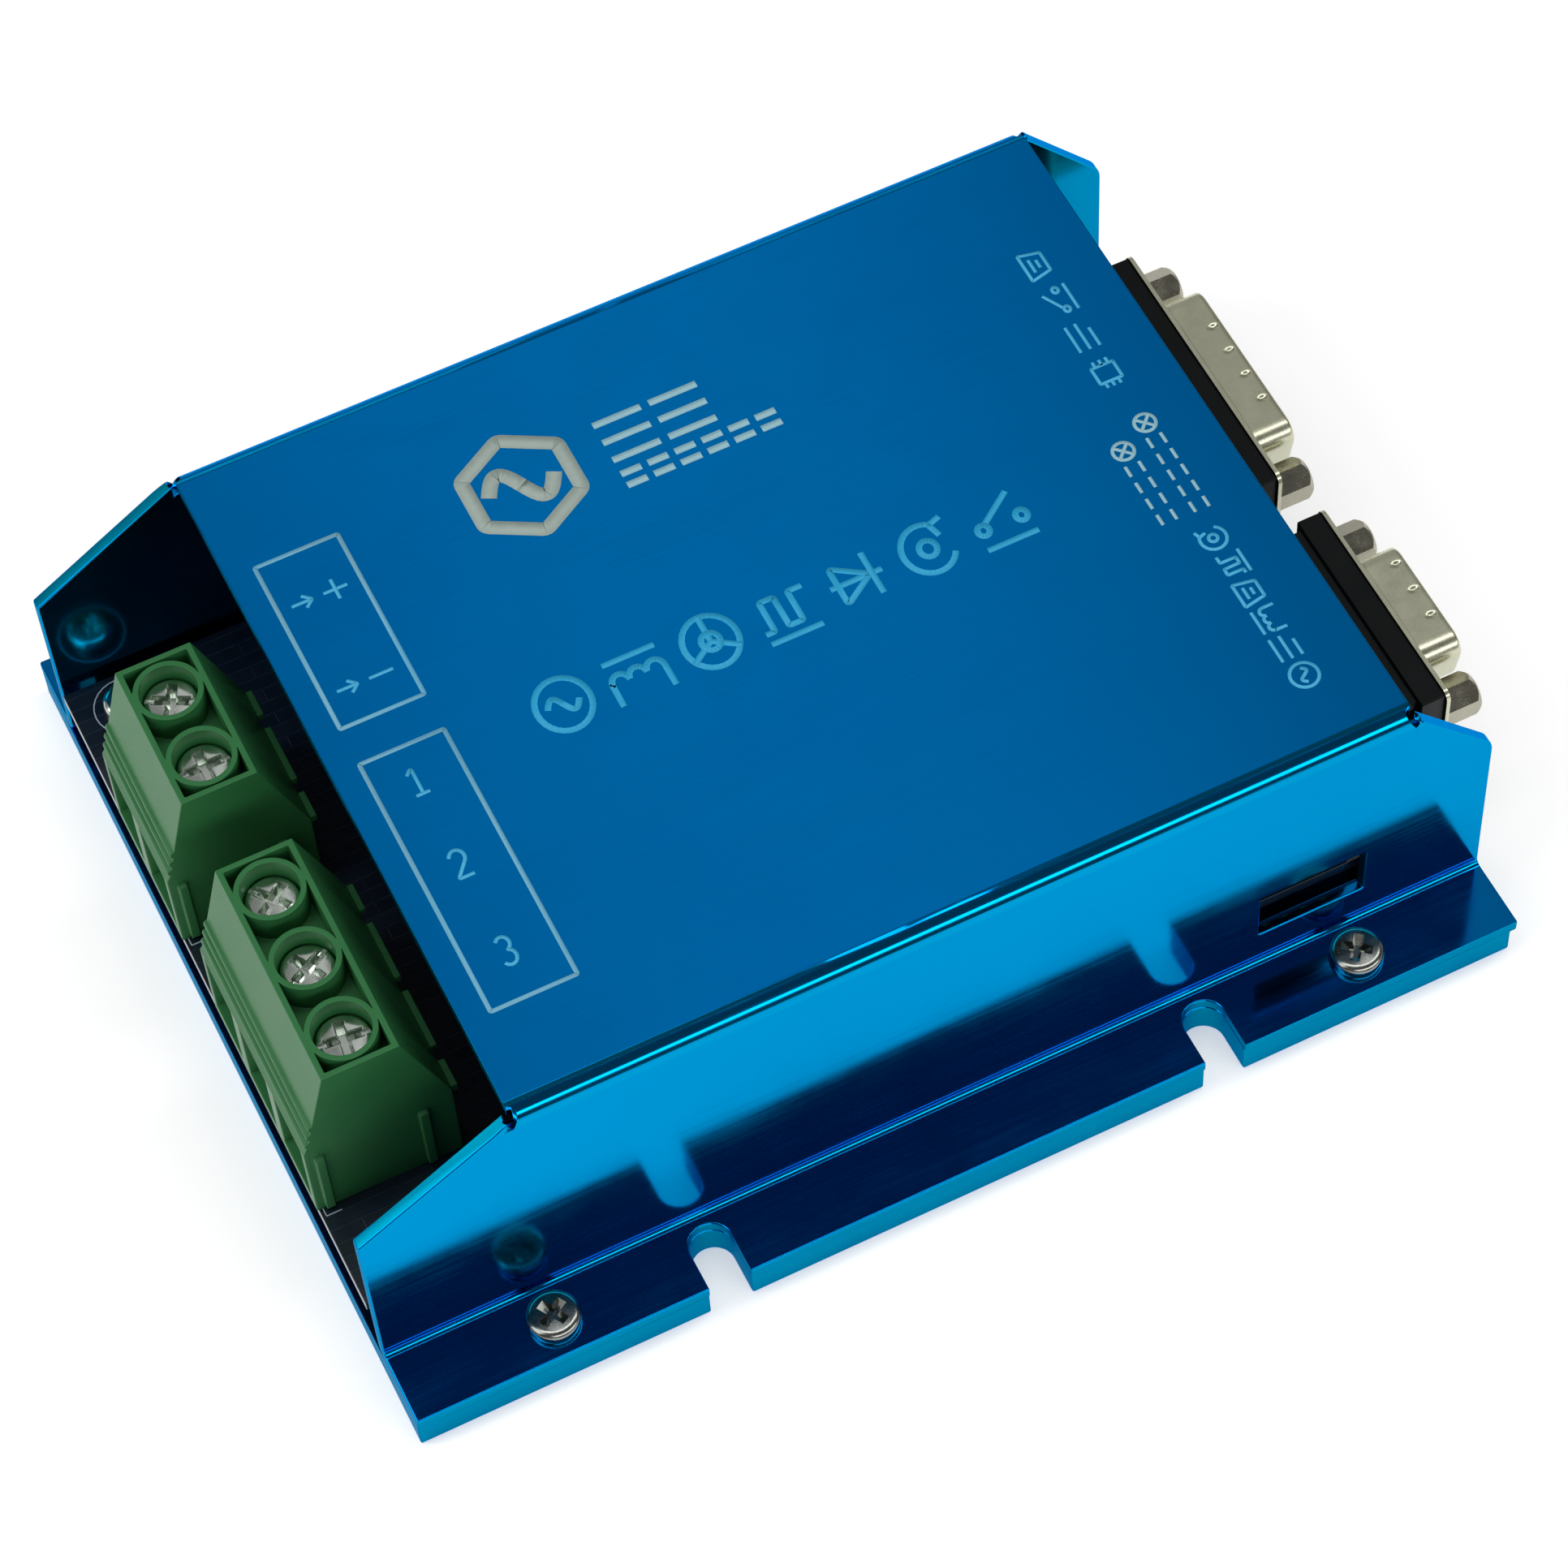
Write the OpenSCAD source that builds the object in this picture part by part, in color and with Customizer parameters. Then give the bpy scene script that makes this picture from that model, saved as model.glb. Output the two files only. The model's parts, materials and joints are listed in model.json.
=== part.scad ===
// Boxed servo driver: circuit board in a folded sheet cover on a thick base plate.
// Millimetres, Z up.  X runs from the screw terminals (-X) to the D connectors (+X).
// The origin is on the underside of the base plate, midway between its four fixing slots.

/* [Case] */
// Length of the cover, which is the case's length
case_l = 143; // [138:1:150]
// Width across the two fixing flanges
case_w = 117; // [114:1:122]
// Height from the underside of the base plate to the top of the cover
case_h = 45; // [44:0.5:50]
// Distance between the outer faces of the two side walls
body_w = 98; // [97:0.5:99]
// Thickness of the base plate
base_t = 4.5; // [4:0.1:5]
// Thickness of the cover's sheet
sheet_t = 1.6; // [1.2:0.1:1.6]
// Inside radius of the cover's folds
fold_r = 0.8; // [0.5:0.1:1]
// How far the cover stands past the base plate at the connector end
lip = 0.6; // [0.2:0.1:1]

/* [Cover outline] */
// X of the top's end above the screw terminals
top_x0 = -51.7; // [-53:0.1:-51]
// X of the top's end above the D connectors
top_x1 = 60.6; // [58:0.1:62]
// Height of the walls' slanted tips
tip_z = 31.8; // [30:0.1:34]
// Radius of the tips at the connector end
tip_r = 3; // [1:0.5:4]

/* [Fixing] */
// X of the fixing slots, either side of the middle
slot_x = 32.2; // [28:0.1:36]
// Width of a fixing slot
slot_w = 5.3; // [4.5:0.1:6]
// Y of the centre of a slot's round inner end
slot_y = 53.3; // [53:0.1:54]
// X of the cover screws, either side of the middle
screw_x = 52.3; // [50:0.1:55]
// Y of the cover screws
screw_y = 53.7; // [53.5:0.1:54]

/* [Board] */
// Height of the standoffs under the circuit board
standoff_h = 8.5; // [8:0.1:9]
// Thickness of the circuit board
board_t = 1.6; // [1.2:0.1:1.6]
// X of the board's edge at the terminal end
board_x0 = -71.6; // [-71.8:0.1:-71]
// X of the board's edge at the connector end
board_x1 = 68.6; // [68:0.1:69]
// Width of the board
board_w = 92.8; // [92:0.1:93]

/* [Terminals] */
// Distance from one terminal screw to the next
pitch = 10.16; // [10:0.01:10.2]
// X of the terminal screws
pole_x = -63.2; // [-63.4:0.1:-63]
// Y of the two-way block's end nearest the middle
power_y = 7.4; // [7:0.1:8]
// Y of the three-way block's far end
motor_y = -33.05; // [-33.5:0.05:-32.6]
// Height of a terminal block above the board
block_h = 27; // [26.5:0.1:28]
// How far a clamp cage rises as its screw is tightened
cage_travel = 4.5; // [3:0.1:4.5]

/* [D connectors] */
// Y of the 15-way connector's middle
control_y = 17.8; // [17:0.1:18]
// X of the 15-way connector's flange face
control_x = 70.3; // [70.2:0.1:71]
// Y of the 9-way connector's middle
encoder_y = -23.1; // [-23.5:0.1:-23]
// X of the 9-way connector's flange face
encoder_x = 72.4; // [72:0.1:73]
// Height of a connector's middle above the board
dsub_h = 6.4; // [6.4:0.1:6.6]

/* [Side window] */
// X of the window's middle
window_x = 48.5; // [46:0.5:50]
// Length of the window
window_l = 14; // [13.5:0.5:15]
// Height of the window
window_h = 8; // [7.5:0.5:8]

/* [Hidden] */
$fn = 48;
EPS = 0.01;
THROUGH = 200;              // longer than anything it cuts through
flange_z = base_t + sheet_t;
wall_y = body_w / 2;
inner_y = wall_y - sheet_t;
base_l = case_l - lip;
base_w = case_w - 0.6;
board_z0 = base_t + standoff_h;
board_z = board_z0 + board_t;
window_z = 12;              // the window's lower edge
edge_drop = 0.7;            // how far below the top's face its cut ends start to slant
relief_r = 0.9;             // relief notches at the ends of the folds

// Cover screws, number 6
cover_head_r = 3.25;
cover_head_h = 1.9;
cover_shank_r = 1.7;
cover_tap_r = 1.75;

// M3 screws and standoffs
m3_head_r = 2.9;
m3_head_h = 1.9;
m3_shank_r = 1.45;
m3_tap_r = 1.5;
m3_clear_r = 1.6;
hex_r = 5.5 / 2 / cos(30);
board_hole_x0 = -65.1;
board_hole_x1 = 61.5;
board_hole_y = 41.5;

// Terminal blocks, heights above the board
block_front = -71.8;
block_rear = -53.5;
block_top_x0 = -67.8;
block_top_x1 = -58.4;
entry_top = 13.9;           // where the wire entries end and the ribs begin
slope_z = 18.7;             // where the ribs end and the smooth slope begins
rear_z = 13.4;
frame_t = 0.7;
recess_d = 4;
well_r = 3.45;
well_wall = 0.7;
head_sink = 2.2;
term_head_r = 3.2;
term_head_h = 2.5;
term_shank_r = 1.95;
cage_tap_r = 2.0;
chamber_l = 7.9;
chamber_w = 7.9;
chamber_z0 = 3;
chamber_z1 = 19.9;
cage_l = 7.4;
cage_w = 7.4;
cage_z0 = 3.9;
cage_h = 11;
cage_floor = 1.5;
cage_mouth_h = 7;
cage_mouth_w = 5.4;
bar_z = 10.9;
bar_t = 1;
bar_w = 4.8;
leg_x = -56.9;
entry_w = 6.4;
entry_z0 = 4.9;
entry_h = 6.6;

// D connectors
dsub_flange_h = 12.5;
dsub_flange_t = 0.5;
dsub_shell_h = 8.36;
dsub_shell_d = 5.8;
dsub_shell_t = 0.5;
dsub_corner = 2.2;
dsub_slant = 10;
dsub_body_d = 10.5;
ear_t = 3.2;                 // depth of the full-width part of a connector's body
rear_in = 1;                 // the rear part is this much shorter at each end
rear_low = 0.5;              // and this much lower
pin_pitch = 2.77;
pin_row = 2.84;
pin_r = 0.5;
jack_af = 4.8;
jack_l = 5;
jack_hole_r = 1.2;
jack_hole_d = 4.5;
jack_stud_r = 1.4;
control_gap = 33.32;
control_flange = 39.14;
control_shell_w = 25.25;
encoder_gap = 24.99;
encoder_flange = 30.81;
encoder_shell_w = 16.92;

// Power stage, bolted to the base plate under the board
fet_x = -38;
fet_pitch = 14;
fet_count = 6;
pad_t = 0.3;
tab_t = 1.3;
fet_w = 10;                 // width of a transistor's tab and body
tab_x0 = -3.4;              // tab and body along X, from the screw's middle
body_x0 = 3.4;
body_x1 = 12.6;
lead_x = 16;                // where the leads turn up to the board
lead_pitch = 2.54;
lead_w = 0.8;
lead_t = 0.5;

// Parts on the board
can_r = 8;
can_h = 20.5;
can_x = -34;
can_pitch = 24;
light_x = board_x1 - 4.4;
light_l = 2.4;
light_w = 2.4;
light_h = 2.2;
lens_r = 0.8;
lens_l = 1.2;
header_l = 12.7;
header_d = 6;
header_h = 5;
header_wall = 0.9;
header_pin = 0.64;
header_front = -board_w / 2 + 0.2;

// ---------- shared shapes ----------

// A box given by its low corner and its high corner
module block(low, high) {
  translate(low) cube(high - low);
}

// The corner of a square that a round of radius r leaves over
module corner_fill(r) {
  difference() {
    square(r);
    translate([r, r]) circle(r);
  }
}

// Children at the four places (+-x, +-y)
module at_corners(x, y) {
  for (sx = [-1, 1], sy = [-1, 1]) {
    translate([sx * x, sy * y, 0]) children();
  }
}

// Children at the board's four mounting holes
module at_board_holes() {
  for (x = [board_hole_x0, board_hole_x1], y = [-board_hole_y, board_hole_y]) {
    translate([x, y, 0]) children();
  }
}

// The open slots in plan: a round inner end and straight sides out past the edge
module slot_cutters() {
  at_corners(slot_x, slot_y) {
    translate([0, 0, -1]) cylinder(h = flange_z + 2, r = slot_w / 2);
  }
  for (sx = [-1, 1], sy = [-1, 1]) {
    translate([sx * slot_x - slot_w / 2, sy > 0 ? slot_y : -slot_y - 10, -1])
      cube([slot_w, 10, flange_z + 2]);
  }
}

// A cross recess cut down from z = 0
module cross_recess(length, width, depth) {
  for (a = [0, 90]) {
    rotate([0, 0, a])
      translate([-length / 2, -width / 2, -depth]) cube([length, width, depth + 1]);
  }
}

// A pan head with its flat side on z = 0 and a cross recess in its top
module pan_head(r, h) {
  difference() {
    intersection() {
      cylinder(h = h, r = r);
      translate([0, 0, h - r * 2.2]) sphere(r = r * 2.2);
    }
    translate([0, 0, h]) cross_recess(r * 1.15, r * 0.26, h * 0.6);
  }
}

// ---------- case ----------

module base_plate() {
  color("deepskyblue") difference() {
    block([-case_l / 2, -base_w / 2, 0], [base_l - case_l / 2, base_w / 2, base_t]);
    slot_cutters();
    at_corners(screw_x, screw_y) translate([0, 0, -1]) cylinder(h = base_t + 2, r = cover_tap_r);
    at_board_holes() translate([0, 0, -1]) cylinder(h = base_t + 2, r = m3_tap_r);
    at_transistors() translate([0, 0, -1]) cylinder(h = base_t + 2, r = m3_tap_r);
  }
}

// The folded sheet in section, Y across and Z up
module cover_section() {
  out_r = fold_r + sheet_t;
  difference() {
    union() {
      translate([-wall_y, base_t]) square([body_w, case_h - base_t]);
      translate([-case_w / 2, base_t]) square([case_w, sheet_t]);
      for (s = [-1, 1]) {
        translate([s * wall_y, flange_z]) scale([s, 1]) corner_fill(fold_r);
      }
    }
    for (s = [-1, 1]) {
      translate([s * wall_y, case_h]) scale([-s, -1]) corner_fill(out_r);
      translate([s * inner_y, base_t]) scale([s, 1]) corner_fill(out_r);
    }
    difference() {
      translate([-inner_y, 0]) square([2 * inner_y, case_h - sheet_t]);
      for (s = [-1, 1]) {
        translate([s * inner_y, case_h - sheet_t]) scale([-s, -1]) corner_fill(fold_r);
      }
    }
  }
}

// What is cut away at one end, from the side: above the slanted edge and past the top's end
module end_cut(top_x, tip_x, reach) {
  rotate([90, 0, 0])
    translate([0, 0, -THROUGH / 2])
      linear_extrude(THROUGH)
        polygon([
          [top_x, case_h + 5],
          [top_x, case_h - edge_drop],
          [tip_x, tip_z],
          [tip_x + reach, tip_z],
          [tip_x + reach, case_h + 5]
        ]);
}

// The round on a wall's tip at the connector end
module tip_round() {
  slant = atan2(case_h - edge_drop - tip_z, case_l / 2 - top_x1);
  run = tip_r * tan((90 - slant) / 2);
  rotate([90, 0, 0])
    translate([0, 0, -THROUGH / 2])
      linear_extrude(THROUGH)
        difference() {
          polygon([
            [case_l / 2 + 1, tip_z - run],
            [case_l / 2 + 1, tip_z + 1],
            [case_l / 2 - run * cos(slant), tip_z + run * sin(slant) + 1],
            [case_l / 2 - run * cos(slant), tip_z + run * sin(slant)],
            [case_l / 2 - tip_r, tip_z - run]
          ]);
          translate([case_l / 2 - tip_r, tip_z - run]) circle(tip_r);
        }
}

module cover() {
  color("dodgerblue") difference() {
    rotate([90, 0, 90])
      translate([0, 0, -case_l / 2])
        linear_extrude(case_l) cover_section();
    end_cut(top_x0, -case_l / 2, -10);
    end_cut(top_x1, case_l / 2, 10);
    // between the walls the sheet ends square
    block([top_x0 - 4, -inner_y, case_h - sheet_t - fold_r], [top_x0, inner_y, case_h + 1]);
    block([top_x1, -inner_y, case_h - sheet_t - fold_r], [top_x1 + 4, inner_y, case_h + 1]);
    tip_round();
    for (x = [top_x0, top_x1], s = [-1, 1]) {
      translate([x, s * (wall_y - relief_r), case_h - 3]) cylinder(h = 4, r = relief_r);
    }
    slot_cutters();
    at_corners(screw_x, screw_y) cylinder(h = flange_z + 1, r = cover_tap_r + 0.15);
    block(
      [window_x - window_l / 2, -wall_y - 1, window_z],
      [window_x + window_l / 2, -inner_y + 1, window_z + window_h]
    );
  }
}

module cover_screws() {
  color("silver") at_corners(screw_x, screw_y) {
    translate([0, 0, flange_z]) pan_head(cover_head_r, cover_head_h);
    translate([0, 0, 0.3]) cylinder(h = flange_z - 0.3 + EPS, r = cover_shank_r);
  }
}

// ---------- circuit board ----------

module circuit_board() {
  color("midnightblue") difference() {
    block([board_x0, -board_w / 2, board_z0], [board_x1, board_w / 2, board_z]);
    at_board_holes() translate([0, 0, board_z0 - 1]) cylinder(h = board_t + 2, r = m3_clear_r);
  }
}

module board_standoffs() {
  color("gold") at_board_holes() {
    difference() {
      translate([0, 0, base_t]) cylinder(h = standoff_h, r = hex_r, $fn = 6);
      translate([0, 0, board_z0 - 6]) cylinder(h = 7, r = m3_tap_r);
    }
    translate([0, 0, 1]) cylinder(h = base_t - 1 + EPS, r = m3_shank_r);
  }
}

module board_screws() {
  color("silver") at_board_holes() {
    translate([0, 0, board_z]) pan_head(m3_head_r, m3_head_h);
    translate([0, 0, board_z - 6]) cylinder(h = 6 + EPS, r = m3_shank_r);
  }
}

// ---------- screw terminals ----------

// Side outline of a terminal block: X across, height above the board up
module block_outline() {
  polygon([
    [block_front, 0],
    [block_front, entry_top - 1],
    [block_front + 0.6, entry_top],
    [block_top_x0 - 2.2, slope_z],
    [block_top_x0, block_h],
    [block_top_x1, block_h],
    [block_rear, rear_z],
    [block_rear, 0]
  ]);
}

// One pole's hollows, in the block's own frame: wire entry, clamp chamber, screw well
module pole_hollows() {
  // wire entry: a mouth whose back slants inwards as it goes down, then the hole itself
  rotate([90, 0, 0])
    translate([0, 0, -chamber_w / 2])
      linear_extrude(chamber_w)
        polygon([
          [block_front - 1, entry_top - 1.4],
          [block_front + 0.1, entry_top - 1.4],
          [block_front + 2.2, entry_z0 - 1],
          [block_front + 2.2, 1.6],
          [block_front - 1, 1.6]
        ]);
  block([block_front - 1, -entry_w / 2, entry_z0], [pole_x, entry_w / 2, entry_z0 + entry_h]);
  // clamp chamber
  block(
    [pole_x - chamber_l / 2, -chamber_w / 2, chamber_z0],
    [pole_x + chamber_l / 2, chamber_w / 2, chamber_z1]
  );
  // slot for the contact bar and its leg
  block([pole_x, -bar_w / 2 - 0.1, bar_z - 0.1], [leg_x + 0.6, bar_w / 2 + 0.1, bar_z + bar_t + 0.1]);
  block([leg_x - 0.6, -bar_w / 2 - 0.1, -1], [leg_x + 0.6, bar_w / 2 + 0.1, bar_z + bar_t]);
  // screw well and the hole for the screw's shank
  translate([pole_x, 0, block_h - head_sink - term_head_h])
    cylinder(h = head_sink + term_head_h + 1, r = well_r);
  translate([pole_x, 0, chamber_z1 - 1])
    cylinder(h = block_h - head_sink - term_head_h - chamber_z1 + 2, r = term_shank_r + 0.15);
}

// The sunk panel between the frame and the round wells
module frame_recess(length) {
  difference() {
    block(
      [block_top_x0 + frame_t, frame_t, block_h - recess_d],
      [block_top_x1 - frame_t, length - frame_t, block_h + 1]
    );
    for (i = [0 : round(length / pitch) - 1]) {
      translate([pole_x, (i + 0.5) * pitch, block_h - recess_d - 1])
        cylinder(h = recess_d + 3, r = well_r + well_wall);
    }
  }
}

// Three ribs along the front, below the smooth slope
module front_ribs(length) {
  rib_r = 0.55;
  for (i = [0 : 2]) {
    rise = (i + 0.35) / 3;
    x = block_front + 0.75 + rise * (block_top_x0 - 2.2 - block_front - 0.6);
    z = entry_top + rise * (slope_z - entry_top);
    translate([x, 0, z]) rotate([-90, 0, 0]) cylinder(h = length, r = rib_r);
  }
}

// The broken rib along the foot of the rear slope: a gap behind every screw
module rear_rib(count) {
  gap = 2;
  for (i = [0 : count]) {
    y0 = i == 0 ? 0.3 : (i - 0.5) * pitch + gap / 2;
    y1 = i == count ? count * pitch - 0.3 : (i + 0.5) * pitch - gap / 2;
    block([block_rear - 0.5, y0, rear_z - 1.2], [block_rear + 0.8, y1, rear_z]);
  }
}

// Interlocking ribs on the near end, and the grooves for them on the far end
module end_ribs() {
  for (x = [block_front + 1.1, block_rear - 4.4]) {
    block([x, -0.6, 0.4], [x + 1.1, 0.5, entry_top - 2.4]);
  }
}

module terminal_housing(count, y0) {
  length = count * pitch;
  translate([0, y0, board_z]) difference() {
    union() {
      rotate([90, 0, 0]) translate([0, 0, -length]) linear_extrude(length) block_outline();
      front_ribs(length);
      rear_rib(count);
      end_ribs();
    }
    for (i = [0 : count - 1]) {
      translate([0, (i + 0.5) * pitch, 0]) pole_hollows();
    }
    frame_recess(length);
    translate([0, length, 0]) end_ribs();
  }
}

module power_terminal_housing() {
  color("seagreen") terminal_housing(2, power_y);
}

module motor_terminal_housing() {
  color("seagreen") terminal_housing(3, motor_y);
}

// Children at pole number i, counted from 1 at the far (+Y) end
module at_pole(y0, count, i) {
  translate([pole_x, y0 + (count - i + 0.5) * pitch, board_z]) children();
}

// A terminal screw: flat head with a combined cross and slot, plain shank for the cage
module terminal_screw(turned) {
  seat = block_h - head_sink - term_head_h;
  tip = bar_z + bar_t + 0.3;
  color("silver") rotate([0, 0, turned]) {
    difference() {
      translate([0, 0, seat]) cylinder(h = term_head_h, r = term_head_r);
      translate([0, 0, seat + term_head_h]) cross_recess(4.4, 0.9, 1.2);
      translate([-term_head_r - 1, -0.45, seat + term_head_h - 0.6])
        cube([2 * term_head_r + 2, 0.9, 2]);
    }
    translate([0, 0, tip]) cylinder(h = seat - tip + EPS, r = term_shank_r);
  }
}

module power_screw_1() at_pole(power_y, 2, 1) terminal_screw(62);
module power_screw_2() at_pole(power_y, 2, 2) terminal_screw(90);
module motor_screw_1() at_pole(motor_y, 3, 1) terminal_screw(38);
module motor_screw_2() at_pole(motor_y, 3, 2) terminal_screw(118);
module motor_screw_3() at_pole(motor_y, 3, 3) terminal_screw(84);

// A clamp cage: the screw draws it up so that it pinches the wire against the contact bar
module clamp_cage() {
  color("goldenrod") difference() {
    block([-cage_l / 2, -cage_w / 2, cage_z0], [cage_l / 2, cage_w / 2, cage_z0 + cage_h]);
    block(
      [-cage_l, -cage_mouth_w / 2, cage_z0 + cage_floor],
      [cage_l, cage_mouth_w / 2, cage_z0 + cage_floor + cage_mouth_h]
    );
    translate([0, 0, cage_z0 + cage_floor + cage_mouth_h - 1]) cylinder(h = 5, r = cage_tap_r);
  }
}

module power_cage_1() at_pole(power_y, 2, 1) clamp_cage();
module power_cage_2() at_pole(power_y, 2, 2) clamp_cage();
module motor_cage_1() at_pole(motor_y, 3, 1) clamp_cage();
module motor_cage_2() at_pole(motor_y, 3, 2) clamp_cage();
module motor_cage_3() at_pole(motor_y, 3, 3) clamp_cage();

// The fixed contact bars, each with a leg down to the board
module contacts(y0, count) {
  color("darkgoldenrod") for (i = [1 : count]) {
    at_pole(y0, count, i) translate([-pole_x, 0, 0]) {
      block([pole_x - 3.4, -bar_w / 2, bar_z], [leg_x + 0.5, bar_w / 2, bar_z + bar_t]);
      block([leg_x - 0.5, -bar_w / 2, 0], [leg_x + 0.5, bar_w / 2, bar_z + EPS]);
    }
  }
}

module power_contacts() contacts(power_y, 2);
module motor_contacts() contacts(motor_y, 3);

// ---------- D connectors ----------

// The D outline round a shell of width w, shrunk by t all round, wide side up
module d_outline(w, t) {
  r = dsub_corner - t;
  half_h = dsub_shell_h / 2 - dsub_corner;
  top = w / 2 - dsub_corner;
  bottom = top - 2 * half_h * tan(dsub_slant);
  hull() {
    for (s = [-1, 1]) {
      translate([s * top, half_h]) circle(r, $fn = 32);
      translate([s * bottom, -half_h]) circle(r, $fn = 32);
    }
  }
}

// Children at a connector's flange face, with its outline's plane stood up square to X
module at_connector(x, y) {
  translate([x, y, board_z + dsub_h]) rotate([90, 0, 90]) children();
}

module dsub_body(x, y, flange_w, gap) {
  face = x - dsub_flange_t;
  half_w = flange_w / 2 - 0.4;
  top = board_z + dsub_h + dsub_flange_h / 2 - 0.3;
  color("dimgray") difference() {
    union() {
      block([face - ear_t, y - half_w, board_z], [face, y + half_w, top]);
      block(
        [face - dsub_body_d, y - half_w + rear_in, board_z],
        [face - ear_t + EPS, y + half_w - rear_in, top - rear_low]
      );
    }
    // the ears' hollows, open to the rear, either side of the contact block
    for (s = [-1, 1]) {
      block(
        [face - dsub_body_d - 1, y + s * gap / 2 - 2.9, board_z + 3],
        [face - ear_t, y + s * gap / 2 + 2.9, top - rear_low - 1.3]
      );
      translate([face - 8, y + s * gap / 2, board_z + dsub_h]) rotate([0, 90, 0])
        cylinder(h = 10, r = jack_stud_r + 0.1);
    }
  }
}

module dsub_shell(x, y, flange_w, gap, shell_w) {
  color("tan") at_connector(x, y) difference() {
    union() {
      translate([-flange_w / 2, -dsub_flange_h / 2, -dsub_flange_t])
        cube([flange_w, dsub_flange_h, dsub_flange_t]);
      linear_extrude(dsub_shell_d) d_outline(shell_w, 0);
    }
    translate([0, 0, -2]) linear_extrude(dsub_shell_d + 3) d_outline(shell_w, dsub_shell_t);
    for (s = [-1, 1]) {
      translate([s * gap / 2, 0, -2]) cylinder(h = 4, r = jack_stud_r + 0.1);
    }
  }
}

// Pins in two rows, the longer row above, each with a tail bent down to the board
module dsub_pins(x, y, count) {
  upper = ceil(count / 2);
  tip = 4.9;
  color("gold") translate([x, y, board_z + dsub_h]) for (row = [0, 1], i = [0 : upper - 1 - row]) {
    pin_y = (i - (upper - 1 - row) / 2) * pin_pitch;
    pin_z = (row == 0 ? 1 : -1) * pin_row / 2;
    back = dsub_body_d + (row == 0 ? 4 : 1.6);
    translate([-back, pin_y, pin_z]) rotate([0, 90, 0]) cylinder(h = back + tip, r = pin_r, $fn = 24);
    translate([-back - 0.35, pin_y - 0.3, -dsub_h]) cube([0.7, 0.6, dsub_h + pin_z + 0.3]);
  }
}

// Hex posts with a threaded hole for the plug's screws and a stud through the flange
module jackscrews(x, y, gap) {
  color("silver") for (s = [-1, 1]) {
    translate([x, y + s * gap / 2, board_z + dsub_h]) rotate([0, 90, 0]) {
      difference() {
        cylinder(h = jack_l, r = jack_af / 2 / cos(30), $fn = 6);
        translate([0, 0, jack_l - jack_hole_d]) cylinder(h = jack_hole_d + 1, r = jack_hole_r);
      }
      translate([0, 0, -6]) cylinder(h = 6 + EPS, r = jack_stud_r);
    }
  }
}

module control_body() dsub_body(control_x, control_y, control_flange, control_gap);
module control_shell() dsub_shell(control_x, control_y, control_flange, control_gap, control_shell_w);
module control_pins() dsub_pins(control_x, control_y, 15);
module control_jackscrews() jackscrews(control_x, control_y, control_gap);
module encoder_body() dsub_body(encoder_x, encoder_y, encoder_flange, encoder_gap);
module encoder_shell() dsub_shell(encoder_x, encoder_y, encoder_flange, encoder_gap, encoder_shell_w);
module encoder_pins() dsub_pins(encoder_x, encoder_y, 9);
module encoder_jackscrews() jackscrews(encoder_x, encoder_y, encoder_gap);

// ---------- power stage ----------

module at_transistors() {
  for (i = [0 : fet_count - 1]) {
    translate([fet_x, (i - (fet_count - 1) / 2) * fet_pitch, 0]) children();
  }
}

module transistor_pad() {
  span = fet_count * fet_pitch;
  color("lightgray") difference() {
    block([fet_x - 5, -span / 2, base_t], [fet_x + 14.5, span / 2, base_t + pad_t]);
    at_transistors() translate([0, 0, base_t - 1]) cylinder(h = pad_t + 2, r = m3_clear_r);
  }
}

// Flat packages: a metal tab with a screw hole, a moulded body and three bent leads
module power_transistors() {
  tab_z = base_t + pad_t;
  color("dimgray") at_transistors() {
    difference() {
      block([tab_x0, -fet_w / 2, tab_z], [body_x1, fet_w / 2, tab_z + tab_t]);
      translate([0, 0, tab_z - 1]) cylinder(h = tab_t + 2, r = m3_clear_r + 0.2);
    }
    block([body_x0, -fet_w / 2, tab_z + tab_t - EPS], [body_x1, fet_w / 2, tab_z + 4.4]);
    for (s = [-1, 0, 1]) {
      low = s * lead_pitch - lead_w / 2;
      high = low + lead_w;
      block([body_x1 - EPS, low, tab_z + 2.4], [lead_x, high, tab_z + 2.4 + lead_t]);
      block([lead_x - lead_t, low, tab_z + 2.4], [lead_x, high, board_z0]);
    }
  }
}

module transistor_screws() {
  seat = base_t + pad_t + tab_t;
  color("silver") at_transistors() {
    translate([0, 0, seat]) pan_head(m3_head_r, m3_head_h);
    translate([0, 0, 0.6]) cylinder(h = seat - 0.6 + EPS, r = m3_shank_r);
  }
}

module bulk_capacitors() {
  neck = 0.6;
  color("darkslategray") for (i = [-1 : 1]) {
    translate([can_x, i * can_pitch, board_z]) {
      cylinder(h = 1.2, r = can_r - neck);
      translate([0, 0, 1.2 - EPS]) cylinder(h = 1, r1 = can_r - neck, r2 = can_r);
      translate([0, 0, 2.2 - 2 * EPS]) cylinder(h = can_h - 2.2 - neck, r = can_r);
      translate([0, 0, can_h - neck - 3 * EPS]) cylinder(h = neck, r1 = can_r, r2 = can_r - neck);
    }
  }
}

// ---------- small parts on the board ----------

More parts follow.
